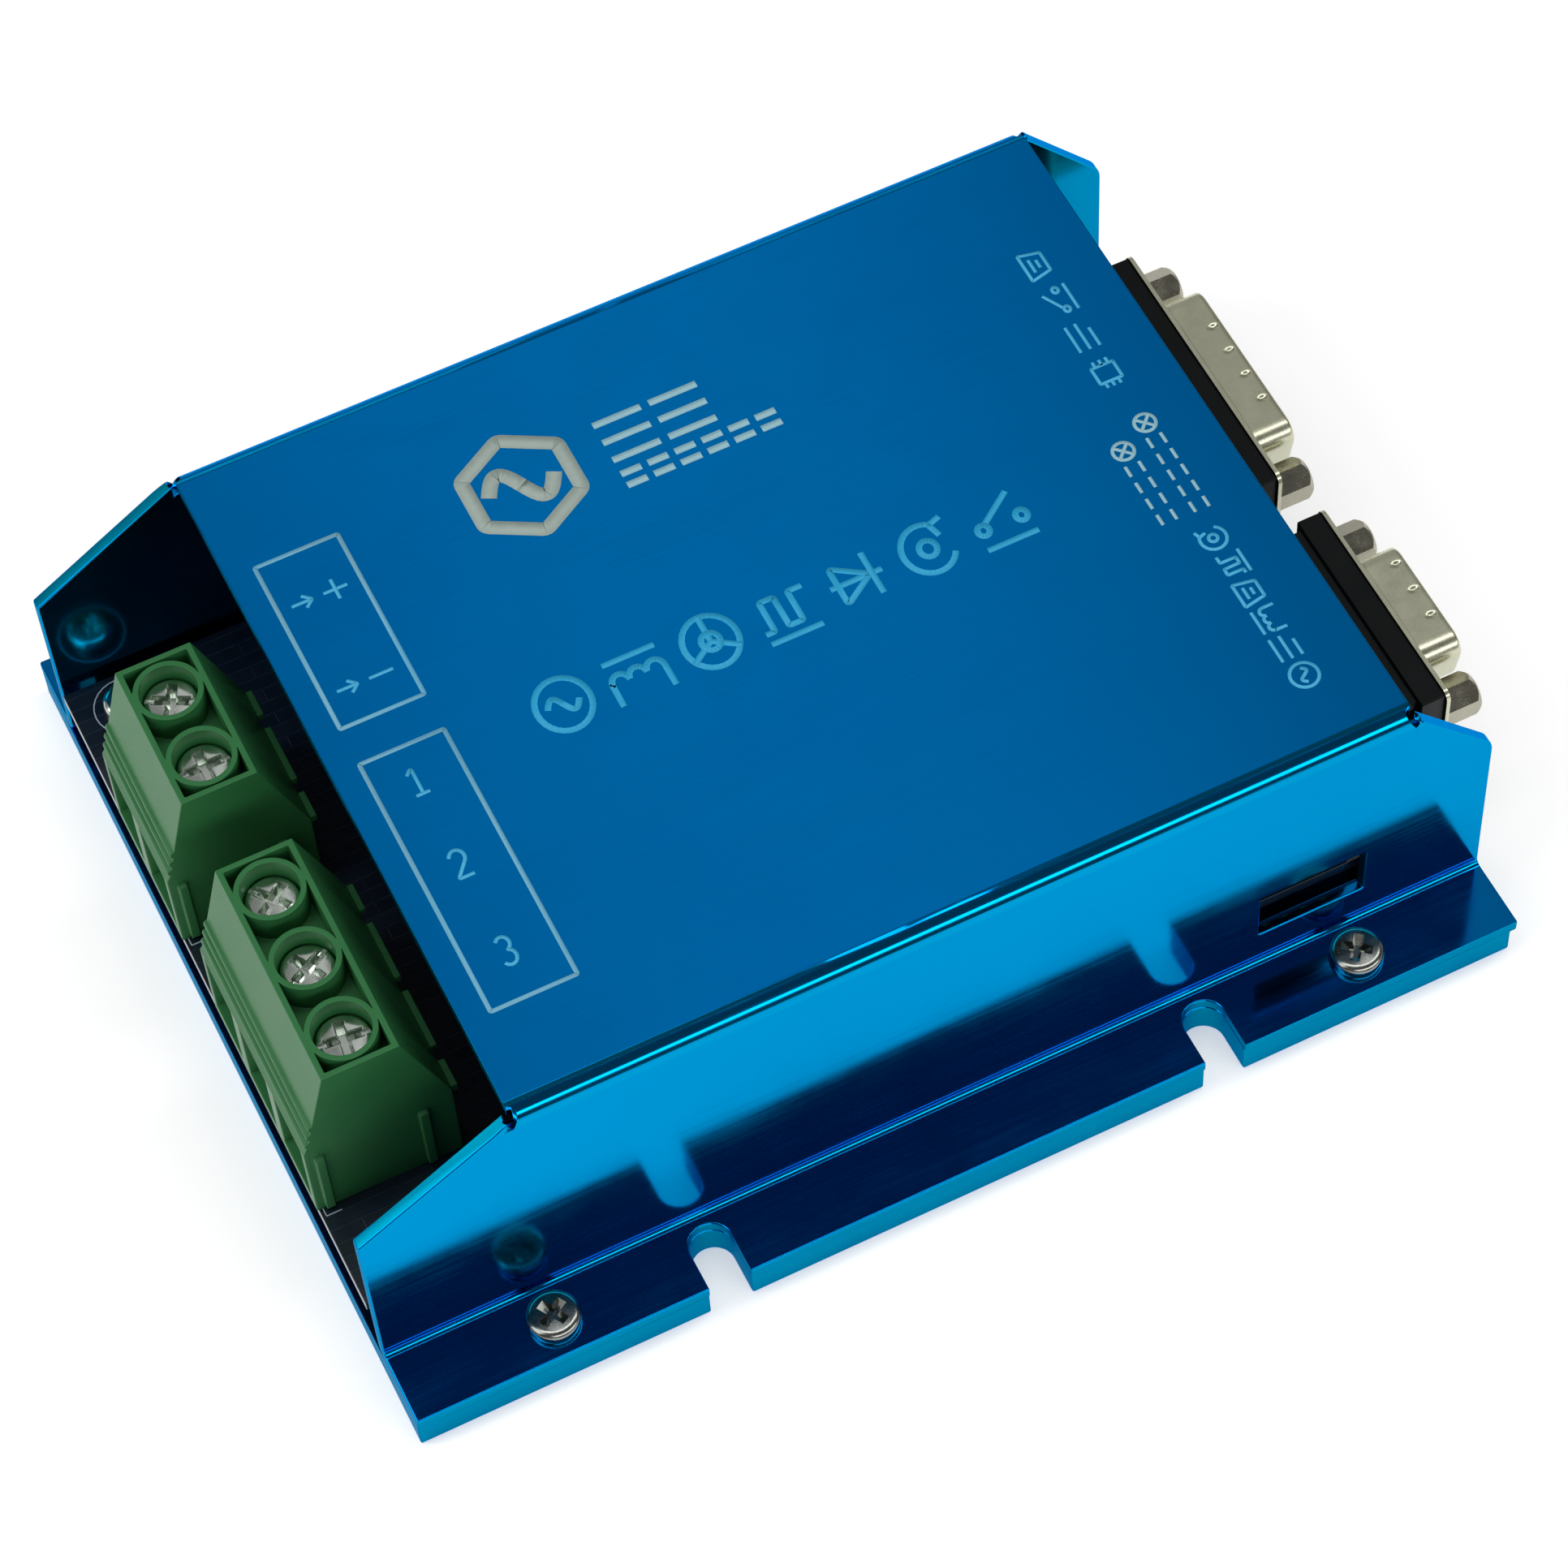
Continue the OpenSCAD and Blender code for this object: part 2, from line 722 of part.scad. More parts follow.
// A chip: a body on short legs along two or four sides
module chip(l, w, h, legs, all_round) {
  leg = 0.35;
  block([-l / 2, -w / 2, 0.1], [l / 2, w / 2, h]);
  for (i = [0 : legs - 1], s = [-1, 1]) {
    along = (i - (legs - 1) / 2) * l / (legs + 0.5);
    block(
      [along - leg / 2, s > 0 ? w / 2 - 0.2 : -w / 2 - 1, 0],
      [along + leg / 2, s > 0 ? w / 2 + 1 : -w / 2 + 0.2, 0.5]
    );
    if (all_round) {
      block(
        [s > 0 ? w / 2 - 0.2 : -w / 2 - 1, along - leg / 2, 0],
        [s > 0 ? w / 2 + 1 : -w / 2 + 0.2, along + leg / 2, 0.5]
      );
    }
  }
}

module gate_drivers() {
  color("dimgray") for (y = [-28, 0, 28]) {
    translate([-10, y, board_z]) chip(10, 7.5, 2.4, 8, false);
  }
}

module current_shunts() {
  color("gray") for (y = [-14, 14]) {
    translate([-14, y, board_z]) {
      block([-3.2, -1.6, 0], [3.2, 1.6, 0.7]);
    }
  }
}

module power_inductor() {
  color("dimgray") translate([8, 24, board_z]) {
    block([-6, -6, 0], [6, 6, 1]);
    translate([0, 0, 1 - EPS]) cylinder(h = 5, r = 5.8);
  }
}

module voltage_regulator() {
  color("dimgray") translate([8, 6, board_z]) {
    block([-3.3, -3, 0], [3.3, 3.1, 2.3]);
    block([-2.7, 3.1 - EPS, 0], [2.7, 6.4, 1]);
    for (s = [-1, 1]) {
      block([s * 2.3 - 0.4, -5.6, 0], [s * 2.3 + 0.4, -3 + EPS, 0.6]);
    }
  }
}

module controller_chip() {
  color("dimgray") translate([28, -14, board_z]) chip(10, 10, 1.5, 12, true);
}

// A small side-facing light between the two connectors
module indicator(y) {
  translate([light_x, y, board_z]) {
    block([0, -light_w / 2, 0], [light_l, light_w / 2, light_h]);
    translate([light_l - EPS, 0, light_h / 2]) rotate([0, 90, 0]) cylinder(h = lens_l, r = lens_r);
  }
}

module power_light() {
  color("limegreen") indicator(-3.2);
}

module status_light() {
  color("orangered") indicator(-6.3);
}

// A four-way shrouded header that faces the side window
module service_header() {
  color("dimgray") translate([window_x, header_front, board_z]) difference() {
    block([-header_l / 2, 0, 0], [header_l / 2, header_d, header_h]);
    block(
      [-header_l / 2 + header_wall, -1, header_wall],
      [header_l / 2 - header_wall, header_d - 1.6, header_h - header_wall]
    );
  }
}

module service_pins() {
  color("gold") for (i = [0 : 3]) {
    translate([window_x + (i - 1.5) * 2.54 - header_pin / 2, header_front, board_z]) {
      block([0, 0.8, 2.3], [header_pin, header_d + 1.6, 2.3 + header_pin]);
      block([0, header_d + 1, 0], [header_pin, header_d + 1.6, 2.3 + EPS]);
    }
  }
}

// ---------- assembly ----------

base_plate();
cover();
cover_screws();
circuit_board();
board_standoffs();
board_screws();
power_terminal_housing();
motor_terminal_housing();
power_screw_1();
power_screw_2();
motor_screw_1();
motor_screw_2();
motor_screw_3();
power_cage_1();
power_cage_2();
motor_cage_1();
motor_cage_2();
motor_cage_3();
power_contacts();
motor_contacts();
control_body();
control_shell();
control_pins();
control_jackscrews();
encoder_body();
encoder_shell();
encoder_pins();
encoder_jackscrews();
bulk_capacitors();
power_transistors();
transistor_screws();
transistor_pad();
gate_drivers();
current_shunts();
power_inductor();
voltage_regulator();
controller_chip();
power_light();
status_light();
service_header();
service_pins();
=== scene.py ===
# %% [markdown]
# # A boxed servo driver
#
# The object is the power controller of a brushless motor. A circuit board stands inside a cover
# folded from sheet, and the cover is screwed to a thick base plate. Both are aluminium, polished
# bright and dyed blue. Green screw terminals stand at one end and two D connectors at the other.
#
# The mechanical model is loaded first. It fixes every size and every joint. What follows adds what
# the eye wants and leaves the sizes alone: softened edges, real screw recesses, etched marks,
# plated shells and a finish on every surface.

# %% Load the fixed frame
import json
import math

import bmesh
import bpy
from mathutils import Matrix, Vector


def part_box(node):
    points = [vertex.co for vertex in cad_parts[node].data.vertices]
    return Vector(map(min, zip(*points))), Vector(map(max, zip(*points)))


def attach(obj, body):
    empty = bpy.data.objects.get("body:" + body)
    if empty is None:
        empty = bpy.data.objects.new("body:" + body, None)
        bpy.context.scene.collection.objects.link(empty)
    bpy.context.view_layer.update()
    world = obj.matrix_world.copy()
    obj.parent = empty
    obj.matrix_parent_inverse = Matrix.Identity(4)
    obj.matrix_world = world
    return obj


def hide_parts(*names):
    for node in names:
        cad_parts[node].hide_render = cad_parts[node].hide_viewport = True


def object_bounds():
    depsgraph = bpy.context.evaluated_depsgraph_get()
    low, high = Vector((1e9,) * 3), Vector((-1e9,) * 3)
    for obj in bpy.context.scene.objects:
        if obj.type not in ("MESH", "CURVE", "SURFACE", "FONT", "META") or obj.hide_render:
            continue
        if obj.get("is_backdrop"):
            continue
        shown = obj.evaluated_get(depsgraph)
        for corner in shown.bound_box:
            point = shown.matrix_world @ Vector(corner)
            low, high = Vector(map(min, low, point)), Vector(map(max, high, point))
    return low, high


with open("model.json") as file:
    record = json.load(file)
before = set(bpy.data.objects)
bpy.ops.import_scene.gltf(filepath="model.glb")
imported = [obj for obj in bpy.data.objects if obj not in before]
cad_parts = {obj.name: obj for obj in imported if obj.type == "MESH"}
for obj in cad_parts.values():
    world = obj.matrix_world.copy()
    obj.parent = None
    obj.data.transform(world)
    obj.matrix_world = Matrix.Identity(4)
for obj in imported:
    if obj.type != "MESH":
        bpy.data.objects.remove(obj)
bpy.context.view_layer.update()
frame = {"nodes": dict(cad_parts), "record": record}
MM = 0.001
scene = bpy.context.scene

# %% [markdown]
# ## Camera
#
# A product picture like this is taken from well above the near long side, with a moderately long
# lens, so that parallel edges stay nearly parallel. The camera is placed by azimuth, elevation and
# distance from a point near the middle of the case, and then rolled a little, as a hand-held one
# would be. There is no lens shift and no depth of field, so every other view works as well.

# %% Place the camera
AIM = Vector((-0.6, -9.0, 20.0)) * MM
AZIMUTH = math.radians(-22.15)
ELEVATION = math.radians(57.17)
ROLL = math.radians(-4.6)
DISTANCE = 598.0 * MM
LENS_MM = 116.1

flat_reach = math.cos(ELEVATION)
back = Vector((math.sin(AZIMUTH) * flat_reach, -math.cos(AZIMUTH) * flat_reach, math.sin(ELEVATION)))
level_right = (-back).cross(Vector((0, 0, 1))).normalized()
level_up = level_right.cross(-back)
right = math.cos(ROLL) * level_right + math.sin(ROLL) * level_up
up = right.cross(-back)
camera_data = bpy.data.cameras.new("camera")
camera_data.lens = LENS_MM
camera_data.sensor_width = 36
camera_data.clip_start = 0.01
camera_data.clip_end = 20
camera = bpy.data.objects.new("camera", camera_data)
scene.collection.objects.link(camera)
turned = Matrix((right, up, back)).transposed().to_4x4()
camera.matrix_world = Matrix.Translation(AIM + back * DISTANCE) @ turned
scene.camera = camera
print("camera at, mm:", [round(v / MM, 1) for v in camera.matrix_world.translation])

# %% [markdown]
# ## Nodes
#
# Every finish and every tree below is built from nodes. One function adds a node: its settings
# are properties of the node, and its inputs are either plain values or sockets to link from.

# %% A node with its settings and links
def add_node(tree, kind, inputs=None, **settings):
    """Adds one node. inputs maps a socket's name or number to a value or to another node's output."""
    made = tree.nodes.new(kind)
    for name, value in settings.items():
        setattr(made, name, value)
    for socket, value in (inputs or {}).items():
        target = made.inputs[socket]
        if isinstance(value, bpy.types.NodeSocket):
            tree.links.new(value, target)
        else:
            target.default_value = value
    return made


def linear(hex_colour):
    """An sRGB colour written as RRGGBB, as the linear numbers that a shader wants."""
    parts = [int(hex_colour[i:i + 2], 16) / 255 for i in (0, 2, 4)]
    return [c / 12.92 if c <= 0.04045 else ((c + 0.055) / 1.055) ** 2.4 for c in parts] + [1.0]


print("mid grey in linear light:", round(linear("808080")[0], 3))

# %% [markdown]
# ## Finishes
#
# Nearly every surface here is one of three things: dyed or plated metal, moulded plastic, or a
# coated board. Each finish has a colour that drifts between two close tones, a roughness that
# drifts with handling, and a fine relief. The patterns read Object coordinates turned into
# millimetres, so a grain size can be typed as it would be measured.

# %% The shared base of every finish
def start_finish(name, metallic=0.0):
    """A new material: returns it, its tree, its shader and its coordinates in millimetres."""
    made = bpy.data.materials.new(name)
    made.use_nodes = True
    tree = made.node_tree
    shader = tree.nodes["Principled BSDF"]
    shader.inputs["Metallic"].default_value = metallic
    place = add_node(tree, "ShaderNodeTexCoord")
    scaled = add_node(tree, "ShaderNodeMapping", {"Vector": place.outputs["Object"], "Scale": (1 / MM,) * 3})
    return made, tree, shader, scaled.outputs["Vector"]


# %% Small steps that every finish uses
def cloud(tree, place, size_mm, detail, **more):
    """Noise from 0 to 1 whose clouds are size_mm across."""
    inputs = {"Vector": place, "Scale": 1 / size_mm, "Detail": detail} | more
    return add_node(tree, "ShaderNodeTexNoise", inputs).outputs["Fac"]


def arithmetic(tree, operation, *numbers):
    """One sum, its numbers given as values or sockets."""
    return add_node(tree, "ShaderNodeMath", dict(enumerate(numbers)), operation=operation).outputs[0]


def blend(tree, factor, first, second):
    """A colour between two."""
    inputs = {"Factor": factor, 6: first, 7: second}
    return add_node(tree, "ShaderNodeMix", inputs, data_type="RGBA").outputs[2]


def times(tree, vector, factors):
    """A vector with each of its parts multiplied."""
    return add_node(tree, "ShaderNodeVectorMath", {0: vector, 1: factors}, operation="MULTIPLY").outputs[0]


def dress(tree, shader, colour, wear, wear_span, roughness, height, relief_mm):
    """Links a colour, a roughness that follows the wear, and a relief."""
    tree.links.new(colour, shader.inputs["Base Color"])
    rough = add_node(tree, "ShaderNodeMapRange", {
        "Value": wear, "From Min": wear_span[0], "From Max": wear_span[1],
        "To Min": roughness[0], "To Max": roughness[1]})
    tree.links.new(rough.outputs[0], shader.inputs["Roughness"])
    relief = add_node(tree, "ShaderNodeBump", {"Height": height, "Distance": relief_mm * MM, "Strength": 1.0})
    tree.links.new(relief.outputs[0], shader.inputs["Normal"])


def mottled_finish(name, tones, roughness, cloud_mm, grain_mm, relief_mm,
                   metallic=0.0, stretch=(1, 1, 1), **more):
    """Colour and roughness drift over clouds of cloud_mm, and the relief has grains of grain_mm.

    more holds other inputs of the shader, with _ for a space.
    """
    made, tree, shader, mm = start_finish(name, metallic)
    clouds = cloud(tree, mm, cloud_mm, 4.0)
    grains = cloud(tree, times(tree, mm, stretch), grain_mm, 2.0)
    tone = blend(tree, clouds, linear(tones[0]), linear(tones[1]))
    wear = arithmetic(tree, "MULTIPLY", clouds, grains)
    dress(tree, shader, tone, wear, (0.1, 0.45), roughness, grains, relief_mm)
    for socket, value in more.items():
        shader.inputs[socket.replace("_", " ")].default_value = value
    return made


# %% [markdown]
# ### Blue anodised aluminium
#
# The sheet is rolled, polished to a mirror, then anodised and dyed. The clear oxide keeps the metal's
# reflection and the dye tints it, so the colour is only ever the colour of what it mirrors, seen through blue
# glass. Rolling leaves a drag of very fine lines along the sheet that soften a reflection more across them
# than along them. They are 0.05 mm apart on the real sheet, far too fine to show, so they are drawn at 0.4
# mm. The top and the upright walls mirror different light, and part of that difference is painted in. The
# colour goes from a flat tone to a lighter, greener upright tone by how far the face looks up, which is
# painted light and not a change in the dye.

# %% Blue anodised aluminium
def anodised_finish(name, flat_tones, upright_tones, roughness):
    """The dyed metal: its tone follows how far the face looks up, a painted difference in light between the
    top and the walls.
    """
    made, tree, shader, mm = start_finish(name, metallic=1.0)
    own_normal = add_node(tree, "ShaderNodeTexCoord").outputs["Normal"]
    look_up = add_node(tree, "ShaderNodeSeparateXYZ", {0: own_normal}).outputs["Z"]
    # painted light: the walls get a lighter, greener tone than the top, by how far the face looks up
    facing_shade_mix = arithmetic(tree, "MULTIPLY", look_up, look_up)
    lines = cloud(tree, times(tree, mm, (0.02, 1.0, 1.0)), 0.4, 3.0)
    dye = cloud(tree, mm, 45, 2.0)
    wipes = cloud(tree, mm, 9, 5.0, Distortion=0.6)
    upright = blend(tree, dye, linear(upright_tones[0]), linear(upright_tones[1]))
    flat = blend(tree, dye, linear(flat_tones[0]), linear(flat_tones[1]))
    wear = arithmetic(tree, "MULTIPLY", wipes, lines)
    dress(tree, shader, blend(tree, facing_shade_mix, upright, flat), wear, (0.12, 0.4), roughness, lines, 0.00025)
    shader.inputs["Specular Tint"].default_value = linear("40C0F2")
    return made


# one dye, its flat and upright tones split by painted light between the top and the walls
blue_anodised = anodised_finish(
    "blue_anodised_aluminium", ("0079C9", "0083D1"), ("008EC1", "0096C9"), (0.10, 0.17))

# %% [markdown]
# Where the sheet and the plate were sheared, milled or laser-cut before anodising, the surface was
# never polished. The dye takes the same, but the cut scatters the light, so an edge is paler,
# greener and dull. The cut's fine teeth run across the thickness.

# %% Cut edges of the blue metal
blue_cut_edge = mottled_finish("blue_cut_edge", ("0085A6", "0091B2"), (0.26, 0.40), 7, 0.2, 0.004, 1.0,
                               (6, 6, 0.3), Specular_Tint=linear("30B4DC"))

# %% [markdown]
# ### The other finishes
#
# The terminal blocks are moulded nylon, satin with a faint mould grain. The terminal screws are
# steel with a bright nickel plate, while the cover's screws are duller and the posts beside the
# connectors warmer with age. The D shells are drawn steel, tin plated. Small parts get the finish
# that such parts come with.

# %% Metals and plastics
nylon_green = mottled_finish("moulded_green_nylon", ("2B6B3B", "347644"), (0.34, 0.46), 6, 0.25, 0.006,
                             Specular_IOR_Level=0.28)
nickel = mottled_finish("bright_nickel_plate", ("CBD3CB", "DEE5DD"), (0.12, 0.24), 1.5, 0.2, 0.002, 1.0)
tin_plate = mottled_finish("tin_plated_steel", ("C6C6AC", "D6D6BE"), (0.24, 0.38), 3, 0.18, 0.003, 1.0)
dull_nickel = mottled_finish("dull_nickel_plate", ("868883", "9C9E97"), (0.16, 0.28), 1.5, 0.2, 0.002, 1.0)
aged_nickel = mottled_finish("aged_nickel_plate", ("A09D8C", "B5B2A1"), (0.18, 0.32), 2, 0.2, 0.002, 1.0)
zinc_steel = mottled_finish("zinc_plated_steel", ("AEB0AE", "C4C4BE"), (0.25, 0.42), 2, 0.2, 0.003, 1.0)
tinned_copper = mottled_finish("tinned_copper", ("B4AFA2", "C6C2B6"), (0.22, 0.36), 2, 0.3, 0.002, 1.0)
turned_brass = mottled_finish("turned_brass", ("B08D3C", "C7A552"), (0.20, 0.34), 2, 0.15, 0.003, 1.0,
                              (1, 1, 6))
gold_flash = mottled_finish("gold_flash", ("D0A245", "E0B860"), (0.14, 0.24), 1, 0.2, 0.001, 1.0)
black_moulding = mottled_finish("black_glass_filled_plastic", ("080C0D", "101516"), (0.34, 0.50), 4, 0.2,
                                0.006, Specular_IOR_Level=0.14)
epoxy = mottled_finish("black_moulded_epoxy", ("17181A", "222325"), (0.55, 0.72), 2, 0.12, 0.008)
silicone_pad = mottled_finish("grey_silicone_pad", ("8C8D8A", "9A9B97"), (0.6, 0.8), 5, 0.3, 0.01)
shunt_alloy = mottled_finish("shunt_alloy", ("6E6A63", "7F7A72"), (0.3, 0.5), 1, 0.1, 0.004, 1.0, (1, 8, 1))
print("finishes so far:", len(bpy.data.materials))

# %% [markdown]
# The solder mask is a coat of dark lacquer over copper. The tracks beneath it show as slightly
# raised, slightly lighter streets on a grid, so a brick pattern with long cells stands for them.

# %% Solder mask
solder_mask, mask_tree, mask_shader, mask_mm = start_finish("dark_solder_mask")
streets = add_node(mask_tree, "ShaderNodeTexBrick", {
    "Vector": mask_mm, "Scale": 1.0, "Mortar Size": 0.16, "Mortar Smooth": 0.3, "Brick Width": 9.0,
    "Row Height": 1.9, "Color1": linear("05101E"), "Color2": linear("081626"), "Mortar": linear("0A1A2C")})
mask_shader.inputs["Coat Weight"].default_value = 0.5
mask_shader.inputs["Coat Roughness"].default_value = 0.12
lacquer = cloud(mask_tree, mask_mm, 3, 3.0)
dress(mask_tree, mask_shader, streets.outputs["Color"], lacquer, (0.0, 1.0), (0.22, 0.38),
      streets.outputs["Fac"], 0.03)

# %% [markdown]
# A burnt-off mark isn't paint: the laser roughens the oxide and drives out the dye, so the mark
# is the same metal, matt and pale. The emblem was burnt deepest and is silver, and the frames
# drift from silver to blue where the beam was weaker. The signs were burnt lightly and stay
# blue, and the title most lightly of all.

# %% Etched marks, light sources and lenses
etched_silver = mottled_finish("deep_laser_etch", ("9BAAA3", "AEBEB6"), (0.5, 0.65), 1.2, 0.3, 0.002)
etched_rim = mottled_finish("half_deep_laser_etch", ("45ACD8", "8FBDCB"), (0.5, 0.65), 16, 0.3, 0.002)
etched_pale = mottled_finish("pale_laser_etch", ("8FBFCC", "A2CEDA"), (0.5, 0.65), 1.2, 0.3, 0.002)
etched_blue = mottled_finish("light_laser_etch", ("38AEDD", "50BDE8"), (0.5, 0.65), 1.2, 0.3, 0.002)
etched_faint = mottled_finish("faint_laser_etch", ("12A3D6", "2AAFDF"), (0.5, 0.65), 1.2, 0.3, 0.002)
silk_print = mottled_finish("white_board_print", ("8FA0AC", "AEBBC2"), (0.5, 0.7), 1.5, 0.2, 0.004)
green_lens, red_lens = [
    mottled_finish(name, tones, (0.1, 0.2), 1, 0.2, 0.002, Transmission_Weight=0.45)
    for name, tones in (("green_lens", ("38C45A", "4ED872")), ("red_lens", ("D2402C", "E4553A")))]

# %% [markdown]
# ## Softened edges
#
# No real edge is a knife edge: sheet is deburred, plastic leaves the mould with small rounds, and
# those rounds are what catch the light. The mechanical model's edges are sharp, so most nodes are
# replaced by a copy. The copy's loose triangles are merged, its flat faces made whole again, and
# a narrow bevel of the real width is cut along every sharp edge. Weighted normals then keep the
# big flat faces truly flat, which matters on a mirror finish.

# %% Replace a node by a softened copy
def middle(node):
    """The middle of a CAD node's box, in metres."""
    return [(low + high) / 2 for low, high in zip(*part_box(node))]


def link_piece(name, mesh):
    """A new object with this mesh, standing at the origin."""
    piece = bpy.data.objects.new(name, mesh)
    scene.collection.objects.link(piece)
    return piece


def settle(shaped, name):
    """Ends a bmesh as a linked object."""
    mesh = bpy.data.meshes.new(name)
    shaped.to_mesh(mesh)
    shaped.free()
    return link_piece(name, mesh)


def hold(piece, body, slot, *nodes):
    """The piece rides on its body and stands for its CAD nodes. slot is not used."""
    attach(piece, body)
    if nodes:
        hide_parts(*nodes)
    return piece


# %% Apply modifiers
def flattened(piece):
    """Applies every modifier by making a plain mesh of what the object evaluates to."""
    graph = bpy.context.evaluated_depsgraph_get()
    mesh = bpy.data.meshes.new_from_object(piece.evaluated_get(graph), depsgraph=graph)
    mesh.name = piece.name
    old = piece.data
    piece.modifiers.clear()
    piece.data = mesh
    if old.users == 0:
        bpy.data.meshes.remove(old)
    return piece


# %% Round the sharp edges
SHARP = math.radians(38)


def soften(piece, width_mm, spare=()):
    """Bevels the sharp edges and weights the normals towards the large faces.

    spare lists (x, y, radius) columns in mm where edges are too short to take a bevel.
    """
    edges = bmesh.new()
    edges.from_mesh(piece.data)
    weights = []
    for edge in edges.edges:
        middle = (edge.verts[0].co + edge.verts[1].co) / 2 / MM
        near = any(math.hypot(middle.x - x, middle.y - y) < r for x, y, r in spare)
        weights.append(0.0 if near or edge.calc_face_angle(0) < SHARP else 1.0)
    edges.free()
    piece.data.attributes.new("bevel_weight_edge", "FLOAT", "EDGE").data.foreach_set("value", weights)
    bevel = piece.modifiers.new("edge round", "BEVEL")
    bevel.width = width_mm * MM
    bevel.segments = 2
    bevel.limit_method = "WEIGHT"
    bevel.use_clamp_overlap = False
    bevel.miter_outer = "MITER_ARC"
    piece.data.shade_smooth()
    weigh = piece.modifiers.new("flat faces", "WEIGHTED_NORMAL")
    weigh.mode = "FACE_AREA"
    weigh.weight = 100
    return flattened(piece)


# %% Join loose triangles into whole faces
def merged_copy(node, seams=()):
    """A copy of a CAD node with its triangles joined into whole faces.

    A face with several holes can't be joined into one outline, so seams holds planes, each a point
    and a normal, that run through the holes and part the face there.
    """
    copied = bmesh.new()
    copied.from_mesh(frame["nodes"][node].data)
    bmesh.ops.remove_doubles(copied, verts=copied.verts, dist=0.0005 * MM)
    for point, normal in seams:
        everything = copied.verts[:] + copied.edges[:] + copied.faces[:]
        cut = bmesh.ops.bisect_plane(copied, geom=everything, plane_co=point, plane_no=normal)
        for part in cut["geom_cut"]:
            if isinstance(part, bmesh.types.BMEdge):
                part.seam = True
    bmesh.ops.dissolve_limit(copied, angle_limit=math.radians(0.4), verts=copied.verts,
                             edges=copied.edges, delimit={"SEAM"})
    return settle(copied, node + "_look")


def soft_copy(node, width_mm, seams=(), spare=()):
    """The whole recipe for one node."""
    piece = merged_copy(node, seams)
    piece.data.materials.clear()
    piece.data.materials.append(finish_of_slot[slot_of[node]])
    soften(piece, width_mm, spare)
    return hold(piece, body_of[node], slot_of[node], node)


# %% [markdown]
# Each node names its slot, and each slot has a finish. The widths below are those of real edges:
# a milled plate is broken by a quarter of a millimetre, moulded and stamped pieces by less.

# %% Soften the nodes
slot_of = {part["node"]: part["material_slot"] for part in frame["record"]["subparts"]}
body_of = {node: body for body, nodes in frame["record"]["behaviour"]["bodies"].items() for node in nodes}

finish_of_slot = {
    "case_blue": blue_anodised, "screw_nickel": nickel, "board_mask": solder_mask, "brass": turned_brass,
    "terminal_green": nylon_green, "clamp_steel": zinc_steel, "contact_tin": tinned_copper,
    "connector_black": black_moulding, "shell_tin": tin_plate, "pin_gold": gold_flash,
    "can_sleeve": black_moulding, "package_black": epoxy, "pad_grey": silicone_pad,
    "shunt_grey": shunt_alloy, "light_green": green_lens, "light_red": red_lens,
}

bevel_mm = {
    "base_plate": 0.25, "cover": 0.22, "power_terminal_housing": 0.12, "motor_terminal_housing": 0.12,
    "control_body": 0.2, "encoder_body": 0.2, "circuit_board": 0.08, "board_standoffs": 0.15,
    "power_contacts": 0.08, "motor_contacts": 0.08, "power_transistors": 0.08, "power_inductor": 0.3,
    "voltage_regulator": 0.12, "service_header": 0.12, "service_pins": 0.08,
}
bevel_mm |= {node: 0.15 for node in slot_of if "_cage_" in node}
pole_x = middle("power_screw_1")[0]
TOP_ENDS_X, NOTCH_Y, NOTCH_REACH = (-51.7, 60.6), 48.1, 1.5
notches = [(x, side * NOTCH_Y, NOTCH_REACH) for x in TOP_ENDS_X for side in (-1, 1)]
softened = {}
for node, width in bevel_mm.items():
    seams = []
    if node.endswith("_housing"):
        cages = [n for n in slot_of if n.startswith(node.split("_")[0] + "_cage_")]
        seams = [((pole_x, 0, 0), (1, 0, 0))] + [((0, middle(cage)[1], 0), (0, 1, 0)) for cage in cages]
    spare = notches if node == "cover" else ()
    softened[node] = soft_copy(node, width, seams, spare)
    print(node, "has", len(softened[node].data.polygons), "faces")

# %% [markdown]
# The cut faces are picked out by where they are and which way they look. On the plate they are
# all that look sideways. On the cover they are the two ends, the slanted cuts, and whatever looks
# sideways out beyond the walls: the long edges of the flanges and the insides of the slots.

# %% Give the cut faces their own finish
WALL_OUT_Y = 49.3 * MM


def is_cut(face, node):
    """True for a face that was sheared, milled or laser-cut."""
    along_x, along_y, along_z = (abs(part) for part in face.normal)
    square_end = along_x > 0.97
    slanted_end = 0.5 < along_x < 0.62 and along_y < 0.2
    sideways = along_z < 0.3 and (node == "base_plate" or abs(face.center.y) > WALL_OUT_Y)
    return square_end or slanted_end or sideways


for node in ("base_plate", "cover"):
    mesh = softened[node].data
    mesh.materials.append(blue_cut_edge)
    cut_faces = [face for face in mesh.polygons if is_cut(face, node)]
    for face in cut_faces:
        face.material_index = 1
    print(node, "has", len(cut_faces), "cut faces")

# %% [markdown]
# The nodes that keep the mechanical model's own shape get the same finishes, by their slots.

# %% Finish the other nodes
for node, thing in frame["nodes"].items():
    for place in thing.material_slots:
        place.material = finish_of_slot[slot_of[node]]

# %% [markdown]
# ## Lines burnt by a laser
#
# The frames and symbols on the top are lines of one even width. They could be cut into a picture
# or painted in a finish, but as thin bars they stay sharp from any distance and can be moved
# about. Each mark is typed as a few lines, and one Geometry Nodes tree runs a flat bar along them
# all. The lettering of a real case is replaced by plain signs: an arrow with plus or minus at the
# supply, numbers at the motor, and a row of drawing-board symbols for the title.

